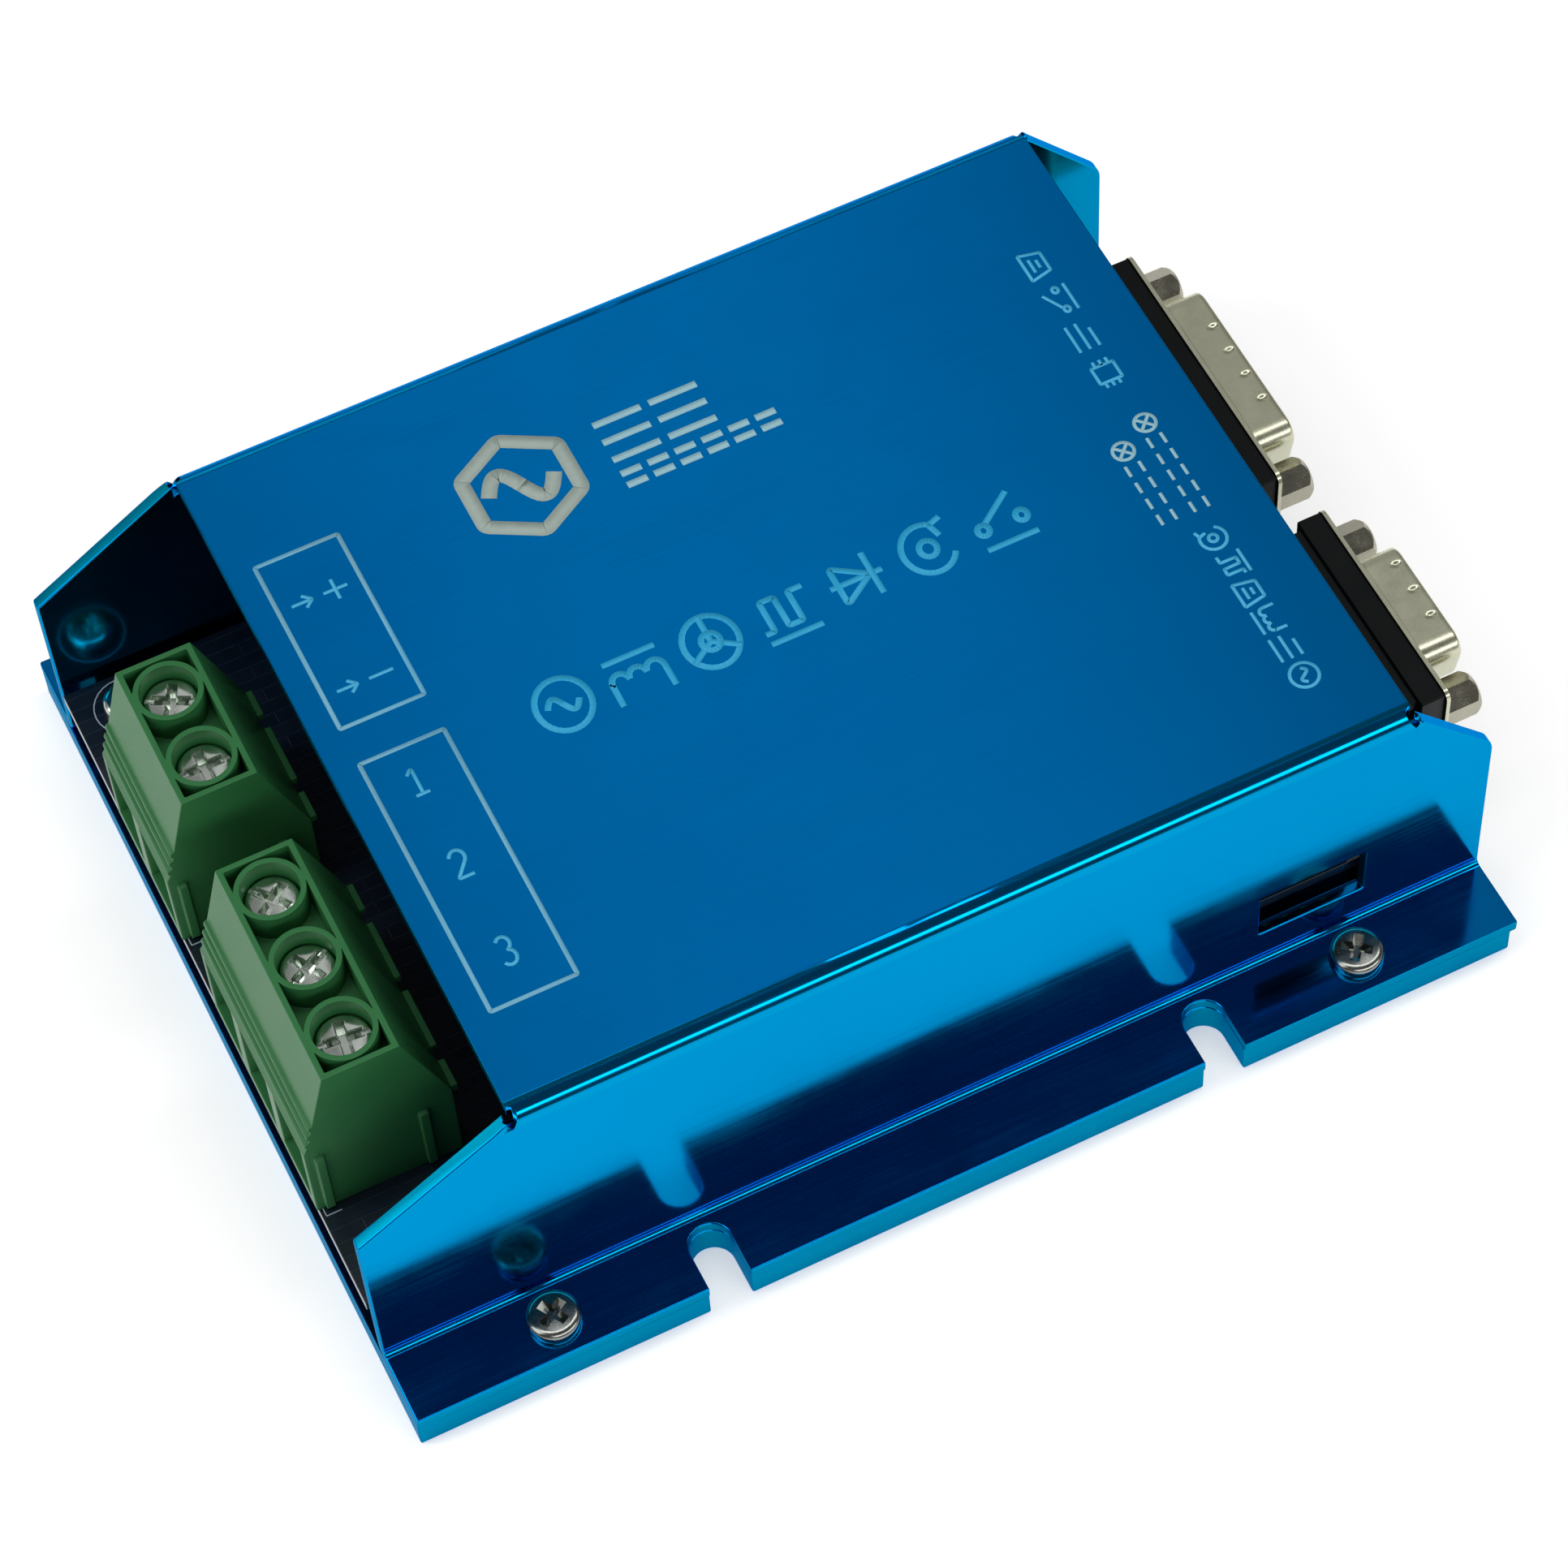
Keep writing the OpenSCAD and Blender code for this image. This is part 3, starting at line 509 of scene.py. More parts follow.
# %% Open, close and run a tree
def new_tree(title, inputs):
    """An empty tree with one geometry in, one out, and these named inputs."""
    tree = bpy.data.node_groups.new(title, "GeometryNodeTree")
    tree.interface.new_socket("Geometry", in_out="INPUT", socket_type="NodeSocketGeometry")
    for name, kind in inputs.items():
        tree.interface.new_socket(name, in_out="INPUT", socket_type="NodeSocket" + kind)
    tree.interface.new_socket("Geometry", in_out="OUTPUT", socket_type="NodeSocketGeometry")
    return tree, add_node(tree, "NodeGroupInput").outputs


def close_tree(tree, shape, finish):
    """Ends a tree: instances made real, the finish set, and the result sent out."""
    real = add_node(tree, "GeometryNodeRealizeInstances", {0: shape})
    painted = add_node(tree, "GeometryNodeSetMaterial", {"Geometry": real.outputs[0], "Material": finish})
    add_node(tree, "NodeGroupOutput", {0: painted.outputs[0]})


def grow(seed, tree, values):
    """Runs a tree on a seed and keeps the result as a plain mesh."""
    modifier = seed.modifiers.new("grow", "NODES")
    modifier.node_group = tree
    for socket in tree.interface.items_tree:
        if socket.in_out == "INPUT" and socket.name in values:
            modifier[socket.identifier] = values[socket.name]
    return flattened(seed)


# %% The bar tree
bar_tree, bar_in = new_tree("bar_along_lines", {
    "Line width": "Float", "Thickness": "Float", "Corner radius": "Float", "Finish": "Material"})
bar_lines = add_node(bar_tree, "GeometryNodeMeshToCurve", {0: bar_in["Geometry"]})
bar_level = add_node(bar_tree, "GeometryNodeSetCurveNormal", {0: bar_lines.outputs[0]}, mode="Z_UP")
bar_corners = add_node(bar_tree, "GeometryNodeFilletCurve", {
    "Curve": bar_level.outputs[0], "Count": 3, "Radius": bar_in["Corner radius"],
    "Limit Radius": True}, mode="POLY")
bar_profile = add_node(bar_tree, "GeometryNodeCurvePrimitiveQuadrilateral", {
    "Width": bar_in["Line width"], "Height": bar_in["Thickness"]}, mode="RECTANGLE")
bar_swept = add_node(bar_tree, "GeometryNodeCurveToMesh", {
    "Curve": bar_corners.outputs[0], "Profile Curve": bar_profile.outputs[0], "Fill Caps": True})
close_tree(bar_tree, bar_swept.outputs[0], bar_in["Finish"])


# %% Marks from typed lines
HEIGHT_STEP, HEIGHT_STEPS = 0.004 * MM, 5


def seed_of(name, points, edges=()):
    """Loose points and edges, for a tree to grow on."""
    mesh = bpy.data.meshes.new(name)
    mesh.from_pydata([tuple(p) for p in points], list(edges), [])
    return link_piece(name, mesh)


def add_path(points, edges, path):
    """Adds a path's points and the edges that join them."""
    edges += [(k, k + 1) for k in range(len(points), len(points) + len(path) - 1)]
    points += path


def line_seed(name, lines, z):
    """Lines as loose edges. A line is a list of (x, y) in mm, and (points, True) is closed.

    Lines that cross get slightly different heights, so that no two faces share a plane.
    """
    points, edges = [], []
    for i, line in enumerate(lines):
        path, closed = line if isinstance(line, tuple) else (line, False)
        first = len(points)
        height = z + i % HEIGHT_STEPS * HEIGHT_STEP
        add_path(points, edges, [(x * MM, y * MM, height) for x, y in path])
        if closed:
            edges.append((len(points) - 1, first))
    return seed_of(name, points, edges)


def mark(name, lines, z, width_mm, finish, slot, corner_mm=0.3, thick_mm=0.06):
    """A set of bars that stand 0.02 mm proud of the surface at height z."""
    seed = line_seed(name, lines, z - (thick_mm / 2 - 0.02) * MM)
    grow(seed, bar_tree, {"Line width": width_mm * MM, "Thickness": thick_mm * MM,
                          "Corner radius": corner_mm * MM, "Finish": finish})
    print(name, "has", len(seed.data.polygons), "faces")
    return hold(seed, "case", slot)


# %% [markdown]
# ### Signs as lines
#
# Every sign is drawn in a square from -1 to 1 and then scaled and placed. An arc is a short chain
# of points. The signs are the ones any wiring diagram uses: a motor, a coil, three phases, a
# square wave, a diode, a lamp and a turning arrow.

# %% Arcs, rings and waves
def arc(cx, cy, r, start, stop, steps=12):
    """Points along part of a circle, angles in degrees."""
    turns = [math.radians(start + (stop - start) * i / steps) for i in range(steps + 1)]
    return [(cx + r * math.cos(t), cy + r * math.sin(t)) for t in turns]


def ring(cx, cy, r, steps=28):
    """A closed circle."""
    return arc(cx, cy, r, 0, 360 * (steps - 1) / steps, steps - 1), True


def wave(x0, x1, height, bumps, steps=24):
    """A sine wave from x0 to x1 about y = 0."""
    return [(x0 + (x1 - x0) * i / steps, height * math.sin(2 * math.pi * bumps * i / steps))
            for i in range(steps + 1)]


# %% Draw the signs
SIGNS = {
    "plus": [[(-1, 0), (1, 0)], [(0, -1), (0, 1)]],
    "minus": [[(-1, 0), (1, 0)]],
    "arrow": [[(-1, 0), (1, 0)], [(0.2, 0.7), (1, 0), (0.2, -0.7)]],
    "one": [[(-0.4, 0.55), (0.1, 1), (0.1, -1)], [(-0.45, -1), (0.6, -1)]],
    "two": [arc(0, 0.42, 0.56, 165, -35, 10) + [(-0.6, -1), (0.62, -1)]],
    "three": [arc(-0.05, 0.48, 0.5, 150, -80, 9), arc(-0.05, -0.5, 0.54, 80, -150, 9)],
    "motor": [ring(0, 0, 1), wave(-0.6, 0.6, 0.32, 1)],
    "coil": [[(-1, -0.95), (-1, -0.1)] + arc(-0.66, -0.1, 0.33, 180, 0, 8), arc(0, -0.1, 0.33, 180, 0, 8),
             arc(0.66, -0.1, 0.33, 180, 0, 8) + [(1, -0.95)], [(-1, 0.72), (1, 0.72)]],
    "phases": [[(0, 0), (0, 1)], [(0, 0), (-0.9, -0.55)], [(0, 0), (0.9, -0.55)],
               ring(0, 0, 0.34, 16), ring(0, 0, 1)],
    "pulses": [[(-1, -0.6), (-0.65, -0.6), (-0.65, 0.6), (-0.1, 0.6), (-0.1, -0.6), (0.45, -0.6),
                (0.45, 0.6), (1, 0.6)], [(-1, -1), (1, -1)]],
    "diode": [([(-0.7, 0.75), (-0.7, -0.75), (0.55, 0)], True), [(0.62, 0.85), (0.62, -0.85)],
              [(-1, 0), (1, 0)]],
    "turning": [arc(0, 0, 0.95, 60, 330, 22), [(0.95, 0.95), (0.45, 0.8), (0.62, 0.3)], ring(0, 0, 0.32, 16)],
    "switch": [ring(-0.75, -0.2, 0.22, 12), ring(0.75, -0.2, 0.22, 12), [(-0.6, 0), (0.7, 0.85)],
               [(-1, -0.95), (1, -0.95)]],
    "lamp": [ring(0, 0, 1, 20), [(-0.7, -0.7), (0.7, 0.7)], [(-0.7, 0.7), (0.7, -0.7)]],
    "socket": [([(-1, 0.8), (1, 0.8), (0.7, -0.8), (-0.7, -0.8)], True), [(-0.5, 0.25), (0.5, 0.25)],
               [(-0.3, -0.25), (0.3, -0.25)]],
    "chip": [([(-0.6, -0.85), (0.6, -0.85), (0.6, 0.85), (-0.6, 0.85)], True)]
            + [[(s * 0.6, y), (s * 1.0, y)] for s in (-1, 1) for y in (-0.5, 0, 0.5)],
    "bars": [[(-1, 0.75), (1, 0.75)], [(-1, 0), (1, 0)], [(-1, -0.75), (0.4, -0.75)]],
}


# %% Place a sign
def placed(sign, x, y, half_w, half_h, turned=False):
    """A sign's lines scaled to half_w by half_h about (x, y); turned ones read along +Y."""
    out = []
    for line in SIGNS[sign]:
        path, closed = line if isinstance(line, tuple) else (line, False)
        scaled = [(u * half_w, v * half_h) for u, v in path]
        out.append(([(x - v, y + u) if turned else (x + u, y + v) for u, v in scaled], closed))
    return out


def rectangle(x0, y0, x1, y1):
    return [(x0, y0), (x1, y0), (x1, y1), (x0, y1)], True


# %% [markdown]
# ### Where the marks stand
#
# The supply frame and the motor frame lie along the edge above the screw terminals, level with
# the poles that they name. The emblem and two rows of plain bars stand above the title. The
# labels of the two connectors and the two lights run along the other edge and read along it.

# %% Burn the marks
top_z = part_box("cover")[1].z
FRAME_X0, FRAME_X1 = -48.2, -37.7
frames = [rectangle(FRAME_X0, 6.1, FRAME_X1, 31.4), rectangle(FRAME_X0, -35.7, FRAME_X1, 0.7)]
mark("etched_frames", frames, top_z, 0.55, etched_rim, "case_blue", 0.2)

pole_signs = []
for sign, y in (("plus", 24.3), ("minus", 11.0)):
    pole_signs += placed("arrow", -45.2, y, 1.3, 1.3)
    pole_signs += placed(sign, -41.0, y, 1.5, 1.5)
for sign, y in (("one", -4.3), ("two", -16.6), ("three", -29.3)):
    pole_signs += placed(sign, -43.4, y, 1.6, 1.9)
mark("etched_pole_signs", pole_signs, top_z, 0.42, etched_blue, "case_blue", 0.15)

title_row = ["motor", "coil", "phases", "pulses", "diode", "turning", "switch"]
title = []
for i, sign in enumerate(title_row):
    title += placed(sign, -24.2 + 9.3 * i, -2.6, 3.3, 3.7)
mark("etched_title", title, top_z, 0.75, etched_faint, "case_blue", 0.25)

emblem_x, emblem_y, emblem_r = -15.7, 27.75, 7.2
hexagon = arc(emblem_x, emblem_y, emblem_r, 30, 330, 5), True
crest = [(emblem_x + x, emblem_y + y) for x, y in wave(-4.2, 4.2, 2.6, 1)]
mark("etched_emblem", [hexagon, crest], top_z, 1.9, etched_silver, "case_blue", 0.8)

rows = []
for x in (-1.6, 5.7):
    rows += [[(x - 3.1, y), (x + 3.1, y)] for y in (26.0, 28.8, 31.6)]
for i in range(6):
    x = -3.4 + 3.5 * i
    rows += [[(x - 1.3, y), (x + 1.3, y)] for y in (21.9, 23.7)]
mark("etched_rows", rows, top_z, 0.95, etched_pale, "case_blue", 0.0)

edge_labels = []
for i, sign in enumerate(("socket", "switch", "bars", "chip")):
    edge_labels += placed(sign, 52.5, 28.6 - 6.1 * i, 2.1, 1.7, turned=True)
for i, sign in enumerate(("turning", "pulses", "socket", "coil", "bars", "motor")):
    edge_labels += placed(sign, 52.1, -16.6 - 4.3 * i, 1.7, 1.7, turned=True)
mark("etched_connector_signs", edge_labels, top_z, 0.4, etched_blue, "case_blue", 0.12)

light_labels = []
for x, first, count in ((48.8, -0.8, 4), (53.0, 1.7, 5)):
    light_labels += placed("lamp", x, first, 1.3, 1.3, turned=True)
    for i in range(count):
        y = first - 2.9 - 2.6 * i
        light_labels += [[(x - 0.9, y + 0.8), (x - 0.9, y - 0.8)], [(x + 0.9, y + 0.8), (x + 0.9, y - 0.8)]]
mark("etched_light_signs", light_labels, top_z, 0.42, etched_pale, "case_blue", 0.1)

# %% [markdown]
# ## Print on the board
#
# The board carries a thin white print: corner marks at each terminal block and a ring round each
# fixing screw. The same tree draws them.

# %% The board's print
board_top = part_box("circuit_board")[1].z
print_lines = []
PRINT_X0, PRINT_X1, PRINT_GAP, HOLES_X, HOLES_Y = -71.1, -69.2, 0.5, (-65.1, 61.5), (-41.5, 41.5)
for housing in ("power_terminal_housing", "motor_terminal_housing"):
    y0, y1 = (corner.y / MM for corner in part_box(housing))
    for y, inward in ((y0 - PRINT_GAP, 1), (y1 + PRINT_GAP, -1)):
        print_lines.append([(PRINT_X1, y), (PRINT_X0, y), (PRINT_X0, y + inward * 1.6)])
print_lines += [ring(x, y, 4.1) for x in HOLES_X for y in HOLES_Y]
print_lines.append(rectangle(42.6, -45.9, 54.4, -39.6))
mark("board_print", print_lines, board_top, 0.16, silk_print, "board_mask", 0.1, 0.05)

# %% [markdown]
# ## Screws
#
# A screw is turned and then punched: a lathe makes the head and shank, and a tapered four-armed
# punch leaves the cross recess. Here a profile is spun into a mesh and the punch is taken away
# from it. The heads in the terminals are flat and also have a slot right across, so that either
# driver fits. One Geometry Nodes tree then stands a copy of the finished screw on every point of
# a seed, turned by the point's own angle, as no two screws are left turned alike.

# %% Turn a profile into a round body
def lathe(name, profile, segments=48):
    """Spins (radius, height) pairs in mm round Z. A radius of 0 becomes a single pole."""
    shaped = bmesh.new()
    loops = []
    for r, z in profile:
        if r == 0:
            loops.append([shaped.verts.new((0, 0, z * MM))])
        else:
            turns = [2 * math.pi * i / segments for i in range(segments)]
            circle = [(r * MM * math.cos(t), r * MM * math.sin(t), z * MM) for t in turns]
            loops.append([shaped.verts.new(point) for point in circle])
    for low, high in zip(loops, loops[1:]):
        for i in range(segments):
            k = (i + 1) % segments
            corners = [low[i % len(low)], low[k % len(low)], high[k % len(high)], high[i % len(high)]]
            shaped.faces.new(list(dict.fromkeys(corners)))
    bmesh.ops.recalc_face_normals(shaped, faces=shaped.faces)
    return settle(shaped, name)


def wall(shaped, first, second):
    """Faces between two closed loops of equally many vertices."""
    for i in range(len(first)):
        k = (i + 1) % len(first)
        shaped.faces.new((first[i], first[k], second[k], second[i]))


def loft(name, sections):
    """Joins closed outlines of equally many points, each given in metres, and caps both ends."""
    shaped = bmesh.new()
    loops = [[shaped.verts.new(p) for p in section] for section in sections]
    for low, high in zip(loops, loops[1:]):
        wall(shaped, low, high)
    shaped.faces.new(loops[0][::-1])
    shaped.faces.new(loops[-1])
    bmesh.ops.recalc_face_normals(shaped, faces=shaped.faces)
    return settle(shaped, name)


# %% Punch a recess
def cross_outline(arm, half_w, z):
    """A four-armed cross, arm long from its middle and 2 half_w wide, in mm at height z."""
    points = []
    for quarter in range(4):
        c, s = [(1, 0), (0, 1), (-1, 0), (0, -1)][quarter]
        for x, y in ((arm, -half_w), (arm, half_w), (half_w, half_w)):
            points.append(((x * c - y * s) * MM, (x * s + y * c) * MM, z * MM))
    return points


def punched(blank, punches):
    """Takes each punch away from the blank and drops it."""
    for punch in punches:
        cut = blank.modifiers.new("punch", "BOOLEAN")
        cut.operation = "DIFFERENCE"
        cut.solver = "EXACT"
        cut.object = punch
    flattened(blank)
    for punch in punches:
        bpy.data.objects.remove(punch)
    return blank


def flat_normals(piece, angle=32):
    """Smooth over rounds, sharp at edges, with the large faces kept flat."""
    piece.data.shade_smooth()
    piece.data.set_sharp_from_angle(angle=math.radians(angle))
    weigh = piece.modifiers.new("flat faces", "WEIGHTED_NORMAL")
    weigh.weight = 100
    weigh.keep_sharp = True
    return flattened(piece)


# %% A tree that stands a copy on every point
copy_tree, copy_in = new_tree("copy_on_points", {"Master": "Object", "Finish": "Material"})
copy_master = add_node(copy_tree, "GeometryNodeObjectInfo", {"Object": copy_in["Master"]})
copy_turn = add_node(copy_tree, "GeometryNodeInputNamedAttribute", {"Name": "turn"}, data_type="FLOAT_VECTOR")
copy_stood = add_node(copy_tree, "GeometryNodeInstanceOnPoints", {
    "Points": copy_in["Geometry"], "Instance": copy_master.outputs["Geometry"],
    "Rotation": copy_turn.outputs["Attribute"]})
close_tree(copy_tree, copy_stood.outputs[0], copy_in["Finish"])


def copies(name, master, points, turns, finish, slot, *nodes, body="case"):
    """One plain mesh with the master on every point (metres), each turned by its (x, y, z) angles."""
    seed = seed_of(name, points)
    turn = seed.data.attributes.new("turn", "FLOAT_VECTOR", "POINT")
    for i, angles in enumerate(turns):
        turn.data[i].vector = [math.radians(a) for a in angles]
    grow(seed, copy_tree, {"Master": master, "Finish": finish})
    print(name, "has", len(seed.data.polygons), "faces")
    return hold(seed, body, slot, *nodes)


# %% A pan head screw
def pan_screw(name, head_r, head_h, shank_r, shank_l):
    """Head bottom at z = 0. The crown is a shallow dome with a rounded rim."""
    crown = [(head_r * (0.72 + 0.28 * math.cos(t)), head_h * (0.42 + 0.46 * math.sin(t)))
             for t in [math.radians(a) for a in (0, 15, 30, 45, 60, 75, 88)]]
    profile = [(0, -shank_l), (shank_r * 0.8, -shank_l), (shank_r, -shank_l + 0.3), (shank_r, 0),
               (head_r * 0.97, 0), (head_r, head_h * 0.12)] + crown + [(0, head_h)]
    blank = lathe(name, profile)
    arm, half_w, depth = head_r * 0.6, head_r * 0.19, head_h * 0.66
    punch = loft("punch", [cross_outline(arm * 0.45, half_w * 0.5, head_h - depth),
                           cross_outline(arm, half_w, head_h - 0.1),
                           cross_outline(arm * 1.15, half_w * 1.5, head_h + 0.4)])
    return flat_normals(punched(blank, [punch]))


# %% Stand the cover's, the board's and the transistors' screws
cover_low, cover_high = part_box("cover_screws")
COVER_HEAD_R, SHEET = 3.25, 1.6
seat_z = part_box("base_plate")[1].z + SHEET * MM
corner_x = (cover_high.x - cover_low.x) / 2 - COVER_HEAD_R * MM
corner_y = (cover_high.y - cover_low.y) / 2 - COVER_HEAD_R * MM
master = pan_screw("cover_screw_master", COVER_HEAD_R, (cover_high.z - seat_z) / MM, 1.7, 5.8)
corners = [(sx * corner_x, sy * corner_y, seat_z) for sx in (-1, 1) for sy in (-1, 1)]
copies("cover_screws_look", master, corners, [(0, 0, a) for a in (31, 12, 52, 68)], dull_nickel,
       "screw_nickel", "cover_screws")
bpy.data.objects.remove(master)

board_low, board_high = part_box("board_screws")
M3_HEAD_R, M3_HEAD_H = 2.9, 1.9
master = pan_screw("board_screw_master", M3_HEAD_R, M3_HEAD_H, 1.45, 5.9)
near_x, far_x = board_low.x + M3_HEAD_R * MM, board_high.x - M3_HEAD_R * MM
side_y = board_high.y - M3_HEAD_R * MM
places = [(x, y, board_high.z - M3_HEAD_H * MM) for x in (near_x, far_x) for y in (-side_y, side_y)]
copies("board_screws_look", master, places, [(0, 0, a) for a in (15, 40, 75, 5)], nickel,
       "screw_nickel", "board_screws")

low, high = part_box("transistor_screws")
seat = high.z - M3_HEAD_H * MM
ys = [low.y + M3_HEAD_R * MM + i * (high.y - low.y - 2 * M3_HEAD_R * MM) / 5 for i in range(6)]
places = [(middle("transistor_screws")[0], y, seat) for y in ys]
copies("transistor_screws_look", master, places, [(0, 0, 17 * i) for i in range(6)], nickel,
       "screw_nickel", "transistor_screws")
bpy.data.objects.remove(master)

# %% [markdown]
# The five terminal screws each ride on a body of their own, because each one turns. Their heads are flat
# discs with a rounded rim, a slot right across and a deeper cross with flared arms.

# %% Terminal screws
TERMINAL_HEAD_H = 2.5


def terminal_screw_master():
    """Head bottom at z = 0."""
    head_r, head_h, shank_r = 3.2, TERMINAL_HEAD_H, 1.95
    low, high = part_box("power_screw_1")
    shank_l = (high.z - low.z) / MM - head_h
    blank = lathe("terminal_screw_master", [
        (0, -shank_l), (shank_r - 0.4, -shank_l), (shank_r, -shank_l + 0.5), (shank_r, 0), (head_r, 0),
        (head_r, head_h - 0.55), (head_r - 0.08, head_h - 0.3), (head_r - 0.28, head_h - 0.1),
        (head_r - 0.6, head_h), (0, head_h)])
    cross = loft("cross_punch", [cross_outline(1.3, 0.36, head_h - 1.5),
                                 cross_outline(2.2, 0.56, head_h - 0.2),
                                 cross_outline(2.5, 0.85, head_h + 0.3)])
    slot_lines = [[(sx * w * MM, sy * 4 * MM, z * MM) for sx, sy in ((-1, -1), (1, -1), (1, 1), (-1, 1))]
                  for w, z in ((0.3, head_h - 0.45), (0.42, head_h + 0.3))]
    slot_cut = loft("slot_punch", slot_lines)
    return flat_normals(punched(blank, [cross, slot_cut]))


master = terminal_screw_master()
turned_by = {"power_screw_1": 62, "power_screw_2": 90,
             "motor_screw_1": 38, "motor_screw_2": 118, "motor_screw_3": 84}
for node, angle in turned_by.items():
    x, y, z = middle(node)
    head_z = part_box(node)[1].z - TERMINAL_HEAD_H * MM
    copies(node + "_look", master, [(x, y, head_z)], [(0, 0, angle)], nickel,
           "screw_nickel", node, body=body_of[node])
bpy.data.objects.remove(master)

# %% [markdown]
# ## D connectors
#
# The shell is one sheet of thin steel, drawn through a die into a D-shaped tube with a flange.
# Drawing leaves a small round where tube meets flange and a curled lip at the mouth, and a row of
# short dimples is pressed into the long sides so that the plug's shell grips. The tube is lofted here
# from D outlines, with enough points along the sides for the dimples to be pressed in.

# %% The D outline
SHELL_H, SHELL_D, SHELL_T, D_CORNER, D_SLANT = 8.36, 5.8, 0.5, 2.2, math.radians(10)
DIMPLE_X, DIMPLE_DEPTH = 4.5, 0.26


def d_outline(width, spacing=0.2):
    """(y, z) points in mm round a D of this width, wide side up, its straight sides cut up finely."""
    half_h = SHELL_H / 2 - D_CORNER
    top = width / 2 - D_CORNER
    bottom = top - 2 * half_h * math.tan(D_SLANT)
    slant = math.degrees(D_SLANT)
    corners = [(top, half_h, -slant, 90), (-top, half_h, 90, 180 + slant),
               (-bottom, -half_h, 180 + slant, 270), (bottom, -half_h, 270, 360 - slant)]
    turns = [arc(cy, cz, D_CORNER, start, stop, 8) for cy, cz, start, stop in corners]
    out = []
    for turn, following in zip(turns, turns[1:] + turns[:1]):
        (y0, z0), (y1, z1) = turn[-1], following[0]
        steps = max(1, round(math.hypot(y1 - y0, z1 - z0) / spacing))
        out += turn[:-1] + [(y0 + (y1 - y0) * k / steps, z0 + (z1 - z0) * k / steps) for k in range(steps)]
    return out


# %% Draw the shells
def dent(x, y, z, dimples):
    """How far a dimple presses in this point of the tube."""
    if abs(z) <= SHELL_H / 2 - 0.4:
        return 0.0
    reach = [math.hypot((y - at) / 0.30, (x - DIMPLE_X) / 0.55) for at in dimples]
    return sum(DIMPLE_DEPTH * math.exp(-far ** 4) for far in reach)


def fill_between(shaped, *loops):
    """Fills the plane ring between two closed loops."""
    edges = []
    for loop in loops:
        for a, b in zip(loop, loop[1:] + loop[:1]):
            edges.append(shaped.edges.get((a, b)) or shaped.edges.new((a, b)))
    bmesh.ops.triangle_fill(shaped, edges=edges, use_beauty=True)


def draw_shell(node, width, dimples):
    """The whole shell with its flange, lip and dimples, as one closed skin."""
    low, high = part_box(node)
    mid_y, mid_z = (v / MM for v in middle(node)[1:])
    face_x = high.x / MM - SHELL_D
    shaped = bmesh.new()

    def loop_at(x, outline):
        points = [((face_x + x) * MM, (mid_y + y) * MM, (mid_z + z) * MM) for y, z in outline]
        return [shaped.verts.new(point) for point in points]

    # (how far along the tube, how far outside its nominal skin), out along it and back inside
    outer = [(0.0, 0.85), (0.12, 0.45), (0.4, 0.12), (0.8, 0.0)]
    outer += [(0.8 + (SHELL_D - 1.3) * i / 20, 0.0) for i in range(1, 21)]
    lip = [(SHELL_D - 0.25, -0.04), (SHELL_D - 0.07, -0.16), (SHELL_D, -0.3),
           (SHELL_D - 0.08, -0.44), (SHELL_D - 0.3, -SHELL_T)]
    inner = [(SHELL_D - 0.3 - (SHELL_D - 0.3) * i / 10, -SHELL_T) for i in range(1, 11)]
    loops = []
    for x, out in outer + lip + inner:
        wider, taller = 1 + 2 * out / width, 1 + 2 * out / SHELL_H
        outline = []
        for y, z in d_outline(width):
            pressed = dent(x, y, z, dimples) if out <= 0.01 else 0.0
            outline.append((y * wider, z * taller - math.copysign(pressed, z)))
        loops.append(loop_at(x, outline))
    for first, second in zip(loops, loops[1:]):
        wall(shaped, first, second)

    # the flange is a rounded plate with a D hole, its front at the tube's root
    half_y, half_z, round_r = (high.y - low.y) / 2 / MM, (high.z - low.z) / 2 / MM, 1.2
    rim = []
    for side_y, side_z, start in ((1, 1, 0), (-1, 1, 90), (-1, -1, 180), (1, -1, 270)):
        rim += arc(side_y * (half_y - round_r), side_z * (half_z - round_r), round_r, start, start + 90, 5)
    front, rear = loop_at(0.0, rim), loop_at(-SHELL_T, rim)
    hole_rear = [shaped.verts.new(v.co + Vector((-SHELL_T * MM, 0, 0))) for v in loops[-1]]
    wall(shaped, front, rear)
    wall(shaped, loops[-1], hole_rear)
    fill_between(shaped, front, loops[0])
    fill_between(shaped, rear, hole_rear)
    bmesh.ops.recalc_face_normals(shaped, faces=shaped.faces)
    piece = settle(shaped, node + "_look")
    piece.data.materials.append(tin_plate)
    flat_normals(piece, 40)
    print(node, "has", len(piece.data.polygons), "faces")
    return hold(piece, "case", "shell_tin", node)


draw_shell("control_shell", 25.25, [-6.5, -2.35, 1.8, 5.95])
draw_shell("encoder_shell", 16.92, [-3.15, 1.0, 5.15])

# %% [markdown]
# The posts beside each shell are hexagon bar, turned to a chamfer at both ends and tapped for the
# plug's screws. A hexagon met by a turned cone gives the curved chamfer lines of a real nut, so
# the post is the part that a hexagonal bar and a turned blank have in common.

# %% Jackscrews
POST_L, POST_HALF = 5.0, 2.4


